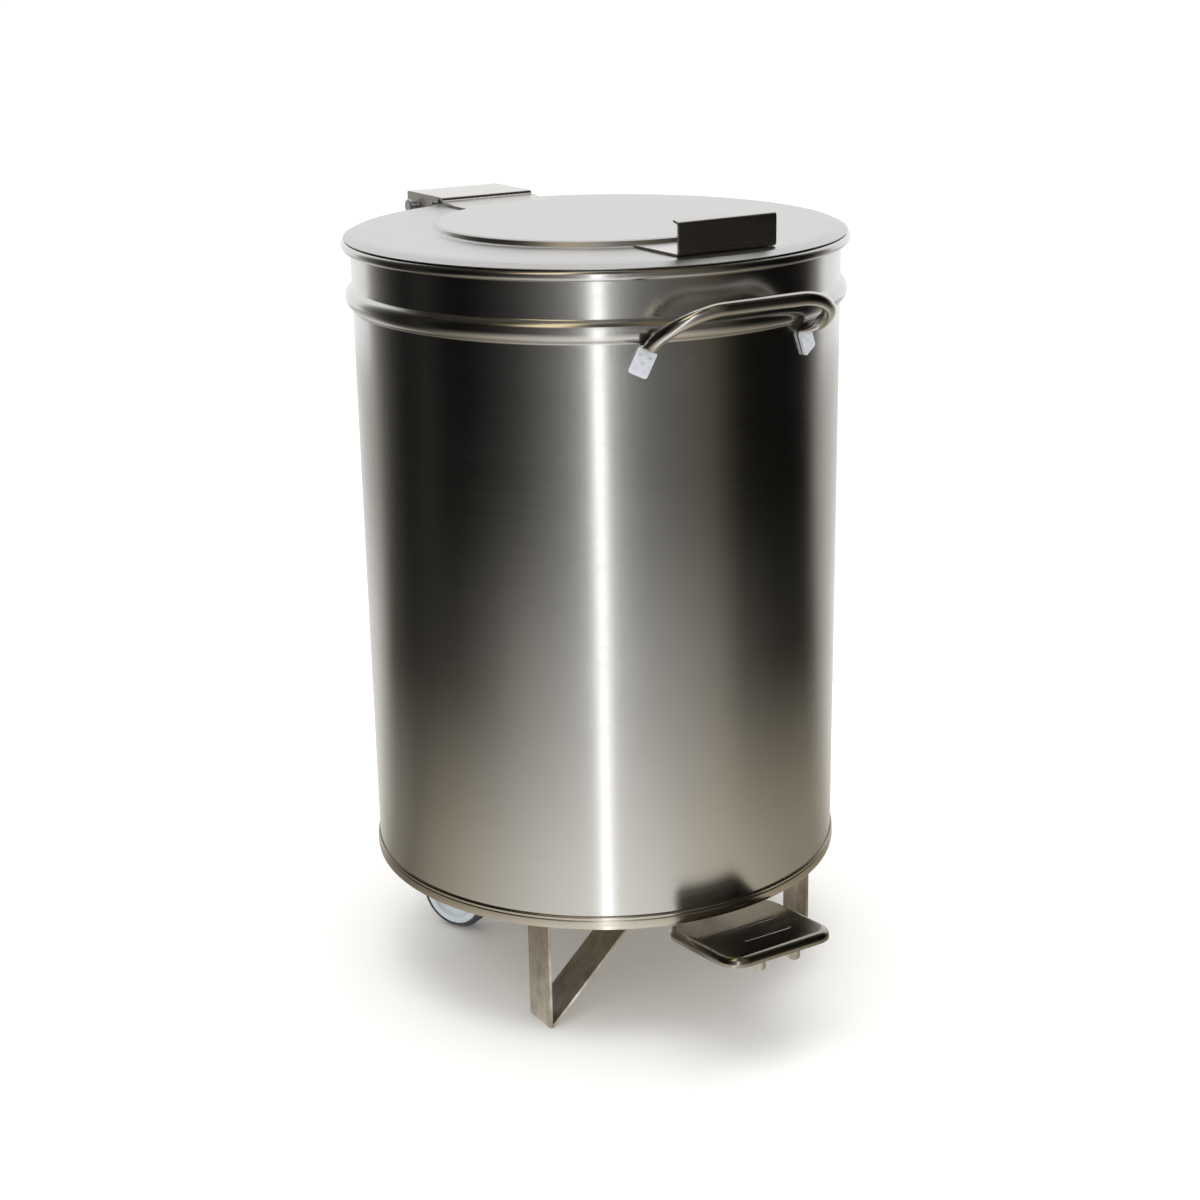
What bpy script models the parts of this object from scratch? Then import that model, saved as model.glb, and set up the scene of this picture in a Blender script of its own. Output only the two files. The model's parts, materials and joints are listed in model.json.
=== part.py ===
"""Round stainless-steel pedal bin on two swivel castors and two folded front legs.

Each sub-part is one named object. The origin is on the drum's axis at floor level, the
front (pedal and handle) faces -Y and +Z is up. Lengths are metres.
"""
import math

import bmesh
import bpy
from mathutils import Matrix, Vector

MM = 0.001
GAP = 0.3 * MM              # clearance kept between touching pieces
ROUND_STEPS = 48            # facets round the drum, the base pan and the lid
SMALL_STEPS = 20            # facets round pins, bosses and holes

# Drum
BODY_R = 225 * MM
SHEET = 1.2 * MM
BASE_Z = 115 * MM           # lower edge of the base ring
RIM_TUBE = 4.2 * MM         # centre line radius of the rolled rim's section
RIM_Z = 709.3 * MM
BEAD_Z = 662.3 * MM
BEAD_HALF = 9.5 * MM
BEAD_OUT = 6.3 * MM
RING_TOP = 128 * MM
PAN_Z = 120.6 * MM          # upper face of the bottom disc

# Lid
LID_FLAT_Z = 720 * MM
LID_R = 231 * MM
LID_FLAT_R = 217 * MM
DISC_R = 144 * MM
DISC_RAISE = 6 * MM
LID_EDGE_Z = 715.4 * MM

# Hinge, push rod and pedal lever
HINGE = Vector((0, 266, 714)) * MM
CRANK = 18.7 * MM           # hinge pin to rod pin
CRANK_DROP = math.radians(38)
ROD_PIN = HINGE + Vector((0, -CRANK * math.cos(CRANK_DROP), -CRANK * math.sin(CRANK_DROP)))
PEDAL_PIVOT = Vector((0, 60, 83)) * MM
ARM_X = 19 * MM
ARM_T = 4 * MM
PUSH_TOP = 88 * MM          # upper face of the plate that lifts the push rod
PEDAL_TOP = 114.6 * MM      # front edge of the foot plate
PEDAL_FRONT = -304 * MM
PEDAL_REAR = -190 * MM
PEDAL_HALF = 59 * MM
PEDAL_SLOPE = math.radians(5.7)     # the foot plate rises towards the front
ROD_R = 4 * MM

# Castors
SWIVEL = Vector((130, 125, 0)) * MM
CASTOR_YAW = math.radians(24.3)
TRAIL = 28 * MM
WHEEL_R = 39 * MM
WHEEL_HALF = 12 * MM

# Front legs
LEG_X = 150 * MM
LEG_FRONT = -141 * MM
LEG_REAR = -103 * MM
LEG_TOP_X = 19 * MM         # where the sloping limb meets the base
LEG_T = 3 * MM
FOOT_FLAT = 3.5 * MM

# Front handle
TUBE_R = 6 * MM
PAD_HALF_W = 8.75 * MM
PAD_HALF_T = 1.5 * MM
PAD_HALF_L = 12 * MM
PAD_ANGLE = math.radians(22)
PAD_TILT = math.radians(25)
PAD_Z = 636 * MM
GRIP_Y = -263.5 * MM
GRIP_Z = 683.6 * MM
GRIP_HALF = 38 * MM

# Planes for flat outlines: outline x and outline y go to these world axes
PLANE_YZ = Matrix(((0, 0, 1), (1, 0, 0), (0, 1, 0))).to_4x4()
PLANE_XZ = Matrix(((1, 0, 0), (0, 0, -1), (0, 1, 0))).to_4x4()
PLANE_XY = Matrix.Identity(4)


def clear_scene():
    for old in list(bpy.data.objects):
        bpy.data.objects.remove(old, do_unlink=True)


def new_collection(name):
    collection = bpy.data.collections.new(name)
    bpy.context.scene.collection.children.link(collection)
    return collection


clear_scene()
PARTS = new_collection("pedal_bin")
CUTTERS = new_collection("cutters")


def material(name, color, roughness, metallic):
    made = bpy.data.materials.new(name)
    made.use_nodes = True
    shader = made.node_tree.nodes["Principled BSDF"]
    shader.inputs["Base Color"].default_value = (*color, 1)
    shader.inputs["Roughness"].default_value = roughness
    shader.inputs["Metallic"].default_value = metallic
    return made


def steel(name, shade=0.62, roughness=0.3):
    return material(name, (shade, shade * 0.97, shade * 0.92), roughness, 1.0)


# ---------------------------------------------------------------- mesh helpers

def add_object(name, mesh, collection=PARTS):
    made = bpy.data.objects.new(name, mesh)
    collection.objects.link(made)
    return made


def finish_bmesh(name, bm):
    bmesh.ops.recalc_face_normals(bm, faces=bm.faces)
    mesh = bpy.data.meshes.new(name)
    bm.to_mesh(mesh)
    bm.free()
    return mesh


def box(name, low, high):
    """Box between two corners."""
    low, high = Vector(low), Vector(high)
    bm = bmesh.new()
    bmesh.ops.create_cube(bm, size=1)
    bmesh.ops.scale(bm, vec=high - low, verts=bm.verts)
    bmesh.ops.translate(bm, vec=(high + low) / 2, verts=bm.verts)
    return add_object(name, finish_bmesh(name, bm))


def cylinder(name, start, end, radius, steps=SMALL_STEPS):
    """Solid round bar between two points."""
    start, end = Vector(start), Vector(end)
    along = end - start
    bm = bmesh.new()
    bmesh.ops.create_cone(bm, cap_ends=True, segments=steps, radius1=radius, radius2=radius,
                          depth=along.length)
    turn = Vector((0, 0, 1)).rotation_difference(along).to_matrix().to_4x4()
    bmesh.ops.transform(bm, matrix=Matrix.Translation((start + end) / 2) @ turn, verts=bm.verts)
    made = add_object(name, finish_bmesh(name, bm))
    made.data.shade_smooth()
    made.data.set_sharp_from_angle(angle=math.radians(40))
    return made


def apply_modifiers(made):
    """Bake the modifiers into the mesh."""
    depsgraph = bpy.context.evaluated_depsgraph_get()
    baked = bpy.data.meshes.new_from_object(made.evaluated_get(depsgraph))
    made.modifiers.clear()
    made.data = baked
    return made


def combine(made, other, operation="UNION"):
    """Boolean of two objects; the other one is used up."""
    step = made.modifiers.new(operation.lower(), "BOOLEAN")
    step.operation = operation
    step.solver = "EXACT"
    step.object = other
    bpy.context.view_layer.update()
    apply_modifiers(made)
    bpy.data.objects.remove(other, do_unlink=True)
    return made


def drill(made, start, end, radius, steps=SMALL_STEPS):
    return combine(made, cylinder("drill", start, end, radius, steps), "DIFFERENCE")


def turned(name, profile, steps=ROUND_STEPS, closed=False, thickness=0, offset=-1):
    """Turn a profile of (radius, height) points round the Z axis, top to bottom outside."""
    bm = bmesh.new()
    points = [bm.verts.new((radius, 0, height)) for radius, height in profile]
    for first, second in zip(points, points[1:]):
        bm.edges.new((first, second))
    if closed:
        bm.edges.new((points[-1], points[0]))
    mesh = bpy.data.meshes.new(name)
    bm.to_mesh(mesh)
    bm.free()
    made = add_object(name, mesh)
    screw = made.modifiers.new("turn", "SCREW")
    screw.steps = screw.render_steps = steps
    screw.use_merge_vertices = True
    screw.merge_threshold = 0.00005
    if thickness:
        wall = made.modifiers.new("wall", "SOLIDIFY")
        wall.thickness = thickness
        wall.offset = offset
    return made


def arc(centre, radius, start_deg, end_deg, count):
    """Points on an arc, in the plane of a profile or an outline."""
    points = []
    for i in range(count + 1):
        angle = math.radians(start_deg + (end_deg - start_deg) * i / count)
        points.append((centre[0] + radius * math.cos(angle), centre[1] + radius * math.sin(angle)))
    return points


def fillet(path, radius, count=3):
    """Round the inner corners of an open path of 2D points."""
    points = [Vector(path[0])]
    for before, corner, after in zip(path, path[1:], path[2:]):
        corner = Vector(corner)
        to_before = (Vector(before) - corner).normalized()
        to_after = (Vector(after) - corner).normalized()
        half = to_before.angle(to_after) / 2
        reach = radius / math.tan(half)
        centre = corner + (to_before + to_after).normalized() * radius / math.sin(half)
        first = corner + to_before * reach - centre
        last = corner + to_after * reach - centre
        start = math.atan2(first.y, first.x)
        turn = (math.atan2(last.y, last.x) - start + math.pi) % (2 * math.pi) - math.pi
        points += arc(centre, radius, math.degrees(start), math.degrees(start + turn), count)
    points.append(Vector(path[-1]))
    return points


def sheet_outline(path, thickness):
    """Closed outline of a bent sheet whose left-hand face follows the path."""
    path = [Vector(point) for point in path]
    back = []
    for i, point in enumerate(path):
        before = (point - path[i - 1]).normalized() if i else None
        after = (path[i + 1] - point).normalized() if i + 1 < len(path) else None
        before = before or after
        after = after or before
        mean = (before + after).normalized()
        right = Vector((mean.y, -mean.x))
        back.append(point + right * thickness / max(0.3, mean.dot(before)))
    return path + back[::-1]


def extruded(name, outline, plane, low, high):
    """Flat outline filled and extruded between two positions along the plane's normal."""
    curve = bpy.data.curves.new(name, "CURVE")
    curve.dimensions = "2D"
    curve.fill_mode = "BOTH"
    curve.extrude = (high - low) / 2
    spline = curve.splines.new("POLY")
    spline.points.add(len(outline) - 1)
    for point, (x, y) in zip(spline.points, outline):
        point.co = (x, y, 0, 1)
    spline.use_cyclic_u = True
    drawn = bpy.data.objects.new(name + "_outline", curve)
    PARTS.objects.link(drawn)
    drawn.matrix_world = plane @ Matrix.Translation((0, 0, (high + low) / 2))
    bpy.context.view_layer.update()
    depsgraph = bpy.context.evaluated_depsgraph_get()
    mesh = bpy.data.meshes.new_from_object(drawn.evaluated_get(depsgraph))
    bm = bmesh.new()
    bm.from_mesh(mesh)
    bmesh.ops.transform(bm, matrix=drawn.matrix_world, verts=bm.verts)
    bmesh.ops.remove_doubles(bm, verts=bm.verts, dist=0.00001)
    bpy.data.objects.remove(drawn, do_unlink=True)
    bpy.data.meshes.remove(mesh)
    return add_object(name, finish_bmesh(name, bm))


def finish(made, mat, pivot=None):
    """Give a piece its material and hang it from its joint's empty."""
    made.data.materials.clear()
    made.data.materials.append(mat)
    if pivot:
        made.parent = pivot
        made.matrix_parent_inverse = pivot.matrix_world.inverted()
    return made


def axis_empty(name, location):
    """Empty on a joint's axis."""
    pivot = bpy.data.objects.new(name, None)
    pivot.location = location
    pivot.empty_display_size = 0.03
    PARTS.objects.link(pivot)
    bpy.context.view_layer.update()
    return pivot


# ---------------------------------------------------------------- drum

def make_drum(mat):
    """Cylinder with a rolled rim and one swaged bead."""
    middle = BODY_R - SHEET / 2
    rim_centre = (middle + RIM_TUBE, RIM_Z)
    bead_r = (BEAD_HALF ** 2 + BEAD_OUT ** 2) / (2 * BEAD_OUT)
    bead_half_angle = math.degrees(math.asin(BEAD_HALF / bead_r))
    profile = arc(rim_centre, RIM_TUBE, -105, 180, 8)
    profile += arc((middle + BEAD_OUT - bead_r, BEAD_Z), bead_r, bead_half_angle, -bead_half_angle, 6)
    profile.append((middle, BASE_Z + 2.2 * MM))
    shell = turned("drum_shell", profile, thickness=SHEET, offset=0)
    finish(shell, mat)


def make_base_pan(mat):
    """Bottom disc whose edge folds down and up again round the foot of the drum."""
    disc = PAN_Z - SHEET / 2
    fold_inner = BODY_R - SHEET - GAP - SHEET / 2
    fold_outer = BODY_R + GAP + SHEET / 2
    bottom = BASE_Z + SHEET / 2
    profile = [(fold_outer - 0.3 * MM, RING_TOP), (fold_outer + 0.5 * MM, RING_TOP - 4 * MM)]
    profile += [(fold_outer + 0.5 * MM, BASE_Z + 4 * MM), (fold_outer - 0.5 * MM, bottom)]
    profile += [(fold_inner, bottom), (fold_inner - 2 * MM, disc), (0, disc)]
    pan = turned("base_pan", profile, thickness=SHEET, offset=0)
    finish(pan, mat)


def make_leg(side, mat):
    """Flat bar folded to a V: one upright limb outside and one sloping limb inside."""
    top = PAN_Z - SHEET - GAP
    name = "leg_left" if side < 0 else "leg_right"
    inner_foot = LEG_X - FOOT_FLAT
    slope = top / (inner_foot - LEG_TOP_X)
    slant = LEG_T * math.hypot(1, slope) / slope
    outline = [(LEG_X, top), (LEG_X, 0), (inner_foot, 0), (LEG_TOP_X, top), (LEG_TOP_X + slant, top)]
    crotch_x = LEG_X - LEG_T
    crotch_z = (inner_foot + slant - crotch_x) * slope
    outline += [(crotch_x, crotch_z), (crotch_x, top)]
    outline = [(side * x, z) for x, z in outline]
    finish(extruded(name, outline, PLANE_XZ, -LEG_REAR, -LEG_FRONT), mat)


# ---------------------------------------------------------------- front handle

def bezier(start, control_1, control_2, end, count):
    """Points of a cubic Bezier, without its first point."""
    points = []
    for i in range(1, count + 1):
        t = i / count
        s = 1 - t
        points.append(start * s ** 3 + control_1 * 3 * s * s * t + control_2 * 3 * s * t * t
                      + end * t ** 3)
    return points


def section_ring(centre, across, normal, half_w, half_t, squareness, count=12):
    """Rounded section: squareness 2 is an ellipse, larger is boxier."""
    ring = []
    for i in range(count):
        angle = 2 * math.pi * (i + 0.5) / count
        c, s = math.cos(angle), math.sin(angle)
        x = math.copysign(abs(c) ** (2 / squareness), c) * half_w
        y = math.copysign(abs(s) ** (2 / squareness), s) * half_t
        ring.append(centre + across * x + normal * y)
    return ring


def handle_path():
    """Half of the handle's centre line, from the pad's lower end to the middle of the grip."""
    outward = Vector((math.sin(PAD_ANGLE), -math.cos(PAD_ANGLE), 0))
    sideways = Vector((math.cos(PAD_ANGLE), math.sin(PAD_ANGLE), 0))
    up_pad = Vector((0, 0, 1)) * math.cos(PAD_TILT) - sideways * math.sin(PAD_TILT)
    centre = outward * (BODY_R + 0.4 * MM + PAD_HALF_T) + Vector((0, 0, PAD_Z))
    low, high = centre - up_pad * PAD_HALF_L, centre + up_pad * PAD_HALF_L
    bend = high + outward * 17 * MM + Vector((0, 0, 6)) * MM
    leave = Vector((0.1, -0.8, 0.58)).normalized()
    grip = Vector((GRIP_HALF, GRIP_Y, GRIP_Z))
    path = [low, low + up_pad * 2.5 * MM, high - up_pad * 2 * MM, high]
    flat_count = len(path)
    path += bezier(high, high + outward * 5 * MM, bend - leave * 7 * MM, bend, 4)
    round_from = len(path) - 1
    path += bezier(bend, bend + leave * 26 * MM, grip + Vector((26 * MM, 0, 0)), grip, 6)
    path.append(Vector((0, GRIP_Y, GRIP_Z)))
    return path, outward, flat_count, round_from


def make_front_handle(mat):
    """Bent tube whose ends are pressed flat and splayed, welded on below the bead."""
    path, normal, flat_count, round_from = handle_path()
    rings = []
    for i, point in enumerate(path):
        last = i + 1 == len(path)
        ahead = Vector((-1, 0, 0)) if last else (path[i + 1] - point).normalized()
        behind = (point - path[i - 1]).normalized() if i else ahead
        tangent = ahead if last else (ahead + behind).normalized()
        normal = (normal - tangent * normal.dot(tangent)).normalized()
        across = tangent.cross(normal)
        blend = min(1, max(0, (i - flat_count + 1) / (round_from - flat_count + 1)))
        half_w = PAD_HALF_W + (TUBE_R - PAD_HALF_W) * blend
        half_t = PAD_HALF_T + (TUBE_R - PAD_HALF_T) * blend ** 3
        if i == 0:
            half_w *= 0.78
        rings.append(section_ring(point, across, normal, half_w, half_t, 6 - 4 * blend))
    bm = bmesh.new()
    loops = [[bm.verts.new(co) for co in ring] for ring in rings]
    for first, second in zip(loops, loops[1:]):
        for i in range(len(first)):
            j = (i + 1) % len(first)
            bm.faces.new((first[i], first[j], second[j], second[i]))
    bm.faces.new(loops[0])
    handle = add_object("front_handle", finish_bmesh("front_handle", bm))
    mirror = handle.modifiers.new("other_half", "MIRROR")
    mirror.use_axis = (True, False, False)
    mirror.merge_threshold = 0.00005
    apply_modifiers(handle)
    handle.data.shade_smooth()
    finish(handle, mat)


# ---------------------------------------------------------------- lid

def make_lid(mat, pivot):
    """Pressed lid: raised centre disc, flat, and a shoulder that drops to the rim."""
    step_out = DISC_R + 5 * MM
    profile = [(0, LID_FLAT_Z + DISC_RAISE), (DISC_R - 2 * MM, LID_FLAT_Z + DISC_RAISE)]
    profile += [(DISC_R + 1 * MM, LID_FLAT_Z + DISC_RAISE * 0.78)]
    profile += [(step_out - 1 * MM, LID_FLAT_Z + DISC_RAISE * 0.1), (step_out + 2 * MM, LID_FLAT_Z)]
    profile += [(LID_FLAT_R, LID_FLAT_Z), (LID_FLAT_R + 6 * MM, LID_FLAT_Z - 1.2 * MM)]
    profile += [(LID_R - 3 * MM, LID_EDGE_Z + 0.5 * MM), (LID_R, LID_EDGE_Z)]
    lid = turned("lid_panel", profile, thickness=1.0 * MM)
    finish(lid, mat, pivot)


def make_lid_handle(mat, pivot):
    """Bent sheet: a base hollowed round the disc, an upright at the edge and an inward lip."""
    base = LID_FLAT_Z + GAP
    front = -212.5 * MM
    top = 748.5 * MM
    path = [(-139 * MM, base), (front, base), (front, top), (front + 8 * MM, top + 1.5 * MM)]
    outline = sheet_outline(fillet(path, 3.5 * MM), 2 * MM)
    handle = extruded("lid_handle", outline, PLANE_YZ, -50 * MM, 50 * MM)
    drill(handle, (0, 0, base - 0.01), (0, 0, base + 0.01), DISC_R + 7.5 * MM, 2 * ROUND_STEPS)
    finish(handle, mat, pivot)


def make_hinge_strap(mat, pivot):
    """Bent sheet over the rim: base on the lid, low step, top plate and two side flanges."""
    half = 51 * MM
    sheet = 1.8 * MM
    base = LID_FLAT_Z + GAP + sheet
    top = 727.5 * MM
    rear = HINGE.y + 15 * MM
    path = [(rear, top - 9 * MM), (rear, top), (206 * MM, top), (204.5 * MM, base + 2.2 * MM)]
    path += [(178 * MM, base), (153 * MM, base)]
    strap = extruded("hinge_strap", sheet_outline(fillet(path, 1.5 * MM, 2)[::-1], sheet),
                     PLANE_YZ, 0.4 * MM - half, half - 0.4 * MM)
    under = top - sheet / 2
    flange = [(212 * MM, under), (214 * MM, 721.5 * MM), (229 * MM, 721 * MM), (240 * MM, 709 * MM)]
    flange += arc((HINGE.y, HINGE.z), 9 * MM, 230, 310, 4)
    flange += [(rear - 1 * MM, top - 8 * MM), (rear - 1 * MM, under)]
    for side in (-1, 1):
        low, high = sorted((side * half, side * (half - sheet)))
        combine(strap, extruded("flange", flange, PLANE_YZ, low, high))
    drill(strap, HINGE - Vector((0.08, 0, 0)), HINGE + Vector((0.08, 0, 0)), 4.3 * MM)
    finish(strap, mat, pivot)


def make_rod_lug(mat, pivot):
    """Folded clevis under the strap that takes the push rod's eye."""
    top = 725.7 * MM - GAP
    path = [(-8 * MM, 695 * MM), (-8 * MM, top), (8 * MM, top), (8 * MM, 695 * MM)]
    lug = extruded("rod_lug", sheet_outline(path, 3 * MM), PLANE_XZ,
                   -(ROD_PIN.y + 8 * MM), -(ROD_PIN.y - 8 * MM))
    across = Vector((0.02, 0, 0))
    drill(lug, ROD_PIN - across, ROD_PIN + across, 3.3 * MM)
    finish(lug, mat, pivot)
    half_pin = Vector((10.5 * MM, 0, 0))
    finish(cylinder("rod_pin", ROD_PIN - half_pin, ROD_PIN + half_pin, 3 * MM), mat, pivot)


# ---------------------------------------------------------------- hinge bracket and pins

def make_hinge_bracket(mat):
    """Folded bracket behind the drum: a web between rim and bead, and two ears for the pin."""
    inner, sheet = 41.5 * MM, 3 * MM
    web_y = BODY_R + 0.4 * MM
    low, high = 677 * MM, 703 * MM
    bracket = box("hinge_bracket", (-inner - sheet, web_y, low), (inner + sheet, web_y + sheet, high))
    ear = [(web_y, low), (web_y, high), (233 * MM, high)]
    ear += arc((HINGE.y, HINGE.z), 9 * MM, 140, -40, 6)
    for side in (-1, 1):
        ends = sorted((side * inner, side * (inner + sheet)))
        combine(bracket, extruded("ear", ear, PLANE_YZ, *ends))
    drill(bracket, HINGE - Vector((0.08, 0, 0)), HINGE + Vector((0.08, 0, 0)), 4.3 * MM)
    finish(bracket, mat)


def make_pin(name, centre, half_length, radius, mat, pivot=None):
    """Pin along X with a flat head at its -X end and a groove-mounted clip at the other."""
    left = centre - Vector((half_length, 0, 0))
    right = centre + Vector((half_length, 0, 0))
    pin = cylinder(name, left - Vector((1.5 * MM, 0, 0)), right, radius)
    head = cylinder("head", left - Vector((2.5 * MM, 0, 0)), left, radius * 1.7)
    combine(pin, head)
    finish(pin, mat, pivot)
    clip_from = right - Vector((3.2 * MM, 0, 0))
    clip = cylinder(name.replace("pin", "clip"), clip_from, clip_from + Vector((1.5 * MM, 0, 0)),
                    radius * 1.7)
    drill(clip, left, right + Vector((0.01, 0, 0)), radius + GAP)
    finish(clip, mat, pivot)


# ---------------------------------------------------------------- push rod and pedal

def make_push_rod(mat, pivot):
    """Straight rod with an eye at the top and a flat foot over the lever's push plate."""
    foot = PUSH_TOP + 0.8 * MM
    start = Vector((0, ROD_PIN.y, foot))
    rod = cylinder("push_rod", start, ROD_PIN, ROD_R, 16)
    combine(rod, cylinder("foot", start, start + Vector((0, 0, 5 * MM)), 7 * MM))
    half_eye = Vector((4.5 * MM, 0, 0))
    combine(rod, cylinder("eye", ROD_PIN - half_eye, ROD_PIN + half_eye, 7.5 * MM))
    drill(rod, ROD_PIN - half_eye * 2, ROD_PIN + half_eye * 2, 3.3 * MM)
    finish(rod, mat, pivot)


def rounded_rectangle(low, high, radius, count=5):
    """Corner-rounded outline between two opposite corners."""
    outline = []
    corners = ((high[0], high[1], 0), (low[0], high[1], 90), (low[0], low[1], 180), (high[0], low[1], 270))
    for x, y, start in corners:
        centre = (x - math.copysign(radius, x - (low[0] + high[0]) / 2),
                  y - math.copysign(radius, y - (low[1] + high[1]) / 2))
        outline += arc(centre, radius, start, start + 90, count)
    return outline


def make_pedal_plate(mat, pivot):
    """Pressed foot plate: turned-down edge, two pressed grooves, notches behind for the arms."""
    skirt, fold, sheet = 9.5 * MM, 4.5 * MM, 2 * MM
    outline = rounded_rectangle((-PEDAL_HALF, PEDAL_FRONT), (PEDAL_HALF, PEDAL_REAR), 20 * MM)
    plate = extruded("pedal_plate", outline, PLANE_XY, PEDAL_TOP - skirt, PEDAL_TOP)
    bm = bmesh.new()
    bm.from_mesh(plate.data)
    bmesh.ops.dissolve_limit(bm, angle_limit=0.01, verts=bm.verts, edges=bm.edges)
    bottom = [f for f in bm.faces if f.calc_center_median().z < PEDAL_TOP - skirt + 1e-6]
    bmesh.ops.delete(bm, geom=bottom, context="FACES_ONLY")
    top = [e for e in bm.edges if all(v.co.z > PEDAL_TOP - 1e-6 for v in e.verts)]
    bmesh.ops.bevel(bm, geom=top, offset=fold, segments=3, profile=0.5, affect="EDGES")
    bm.to_mesh(plate.data)
    bm.free()
    wall = plate.modifiers.new("wall", "SOLIDIFY")
    wall.thickness = sheet
    wall.offset = -1
    bpy.context.view_layer.update()
    apply_modifiers(plate)
    for y, left, right in ((-245, -43, 32), (-273, -22, 30)):
        groove = box("groove", (left * MM, (y - 1.5) * MM, PEDAL_TOP - 0.8 * MM),
                     (right * MM, (y + 1.5) * MM, PEDAL_TOP + 0.01))
        combine(plate, groove, "DIFFERENCE")
    for side in (-1, 1):
        near, far = sorted((side * (ARM_X - ARM_T / 2 - GAP), side * (ARM_X + ARM_T / 2 + GAP)))
        notch = box("notch", (near, PEDAL_REAR - 6 * MM, PEDAL_TOP - 0.02),
                    (far, PEDAL_REAR + 6 * MM, PEDAL_TOP - sheet))
        combine(plate, notch, "DIFFERENCE")
    front_edge = Matrix.Translation((0, PEDAL_FRONT, PEDAL_TOP))
    plate.data.transform(front_edge @ Matrix.Rotation(-PEDAL_SLOPE, 4, "X") @ front_edge.inverted())
    finish(plate, mat, pivot)


def arm_outline():
    """Side outline of a lever arm, from the foot plate to the push plate."""
    front, rear = PEDAL_FRONT + 6 * MM, PEDAL_REAR + 1 * MM
    low_front, low_rear, high_rear, tail = 93.5 * MM, 76 * MM, 90 * MM, 295 * MM

    def under_plate(y):
        return PEDAL_TOP - (y - PEDAL_FRONT) * math.tan(PEDAL_SLOPE) - 2 * MM - GAP - 0.05 * MM

    outline = [(front, under_plate(front) - 3 * MM)]
    outline += arc((front + 7 * MM, low_front + 7 * MM), 7 * MM, 180, 270, 4)
    outline += [(-190 * MM, 84 * MM), (-130 * MM, low_rear), (100 * MM, low_rear)]
    outline += [(150 * MM, 77 * MM), (tail - 8 * MM, 77 * MM), (tail, 81 * MM), (tail, PUSH_TOP)]
    outline += [(150 * MM, PUSH_TOP), (100 * MM, high_rear), (-135 * MM, high_rear)]
    outline += [(rear, under_plate(rear)), (front + 3 * MM, under_plate(front + 3 * MM))]
    return outline


def make_lever(mat, pivot):
    """Two flat arms on edge, the sleeve between them at the pivot and the push plate behind."""
    reach = Vector((0.05, 0, 0))
    for side in (-1, 1):
        ends = sorted((side * (ARM_X - ARM_T / 2), side * (ARM_X + ARM_T / 2)))
        name = "pedal_arm_left" if side < 0 else "pedal_arm_right"
        arm = extruded(name, arm_outline(), PLANE_YZ, *ends)
        drill(arm, PEDAL_PIVOT - reach, PEDAL_PIVOT + reach, 4.3 * MM)
        finish(arm, mat, pivot)
    inside = ARM_X - ARM_T / 2 - GAP
    sleeve = cylinder("pedal_sleeve", PEDAL_PIVOT - Vector((inside, 0, 0)),
                      PEDAL_PIVOT + Vector((inside, 0, 0)), 6.5 * MM)
    drill(sleeve, PEDAL_PIVOT - reach, PEDAL_PIVOT + reach, 4.3 * MM)
    finish(sleeve, mat, pivot)
    push = box("push_plate", (-inside, 234 * MM, PUSH_TOP - 3 * MM), (inside, 264 * MM, PUSH_TOP))
    finish(push, mat, pivot)


def make_pedal_bracket(mat):
    """Folded channel under the base that carries the lever's pivot pin."""
    inner, sheet = 24 * MM, 3 * MM
    top = PAN_Z - SHEET - GAP
    low = PEDAL_PIVOT.z - 10 * MM
    outer = inner + sheet
    path = [(-outer, low), (-outer, top), (outer, top), (outer, low)]
    bracket = extruded("pedal_bracket", sheet_outline(path, sheet), PLANE_XZ,
                       -(PEDAL_PIVOT.y + 20 * MM), -(PEDAL_PIVOT.y - 20 * MM))
    reach = Vector((0.05, 0, 0))
    drill(bracket, PEDAL_PIVOT - reach, PEDAL_PIVOT + reach, 4.3 * MM)
    finish(bracket, mat)


# ---------------------------------------------------------------- castors

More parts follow.
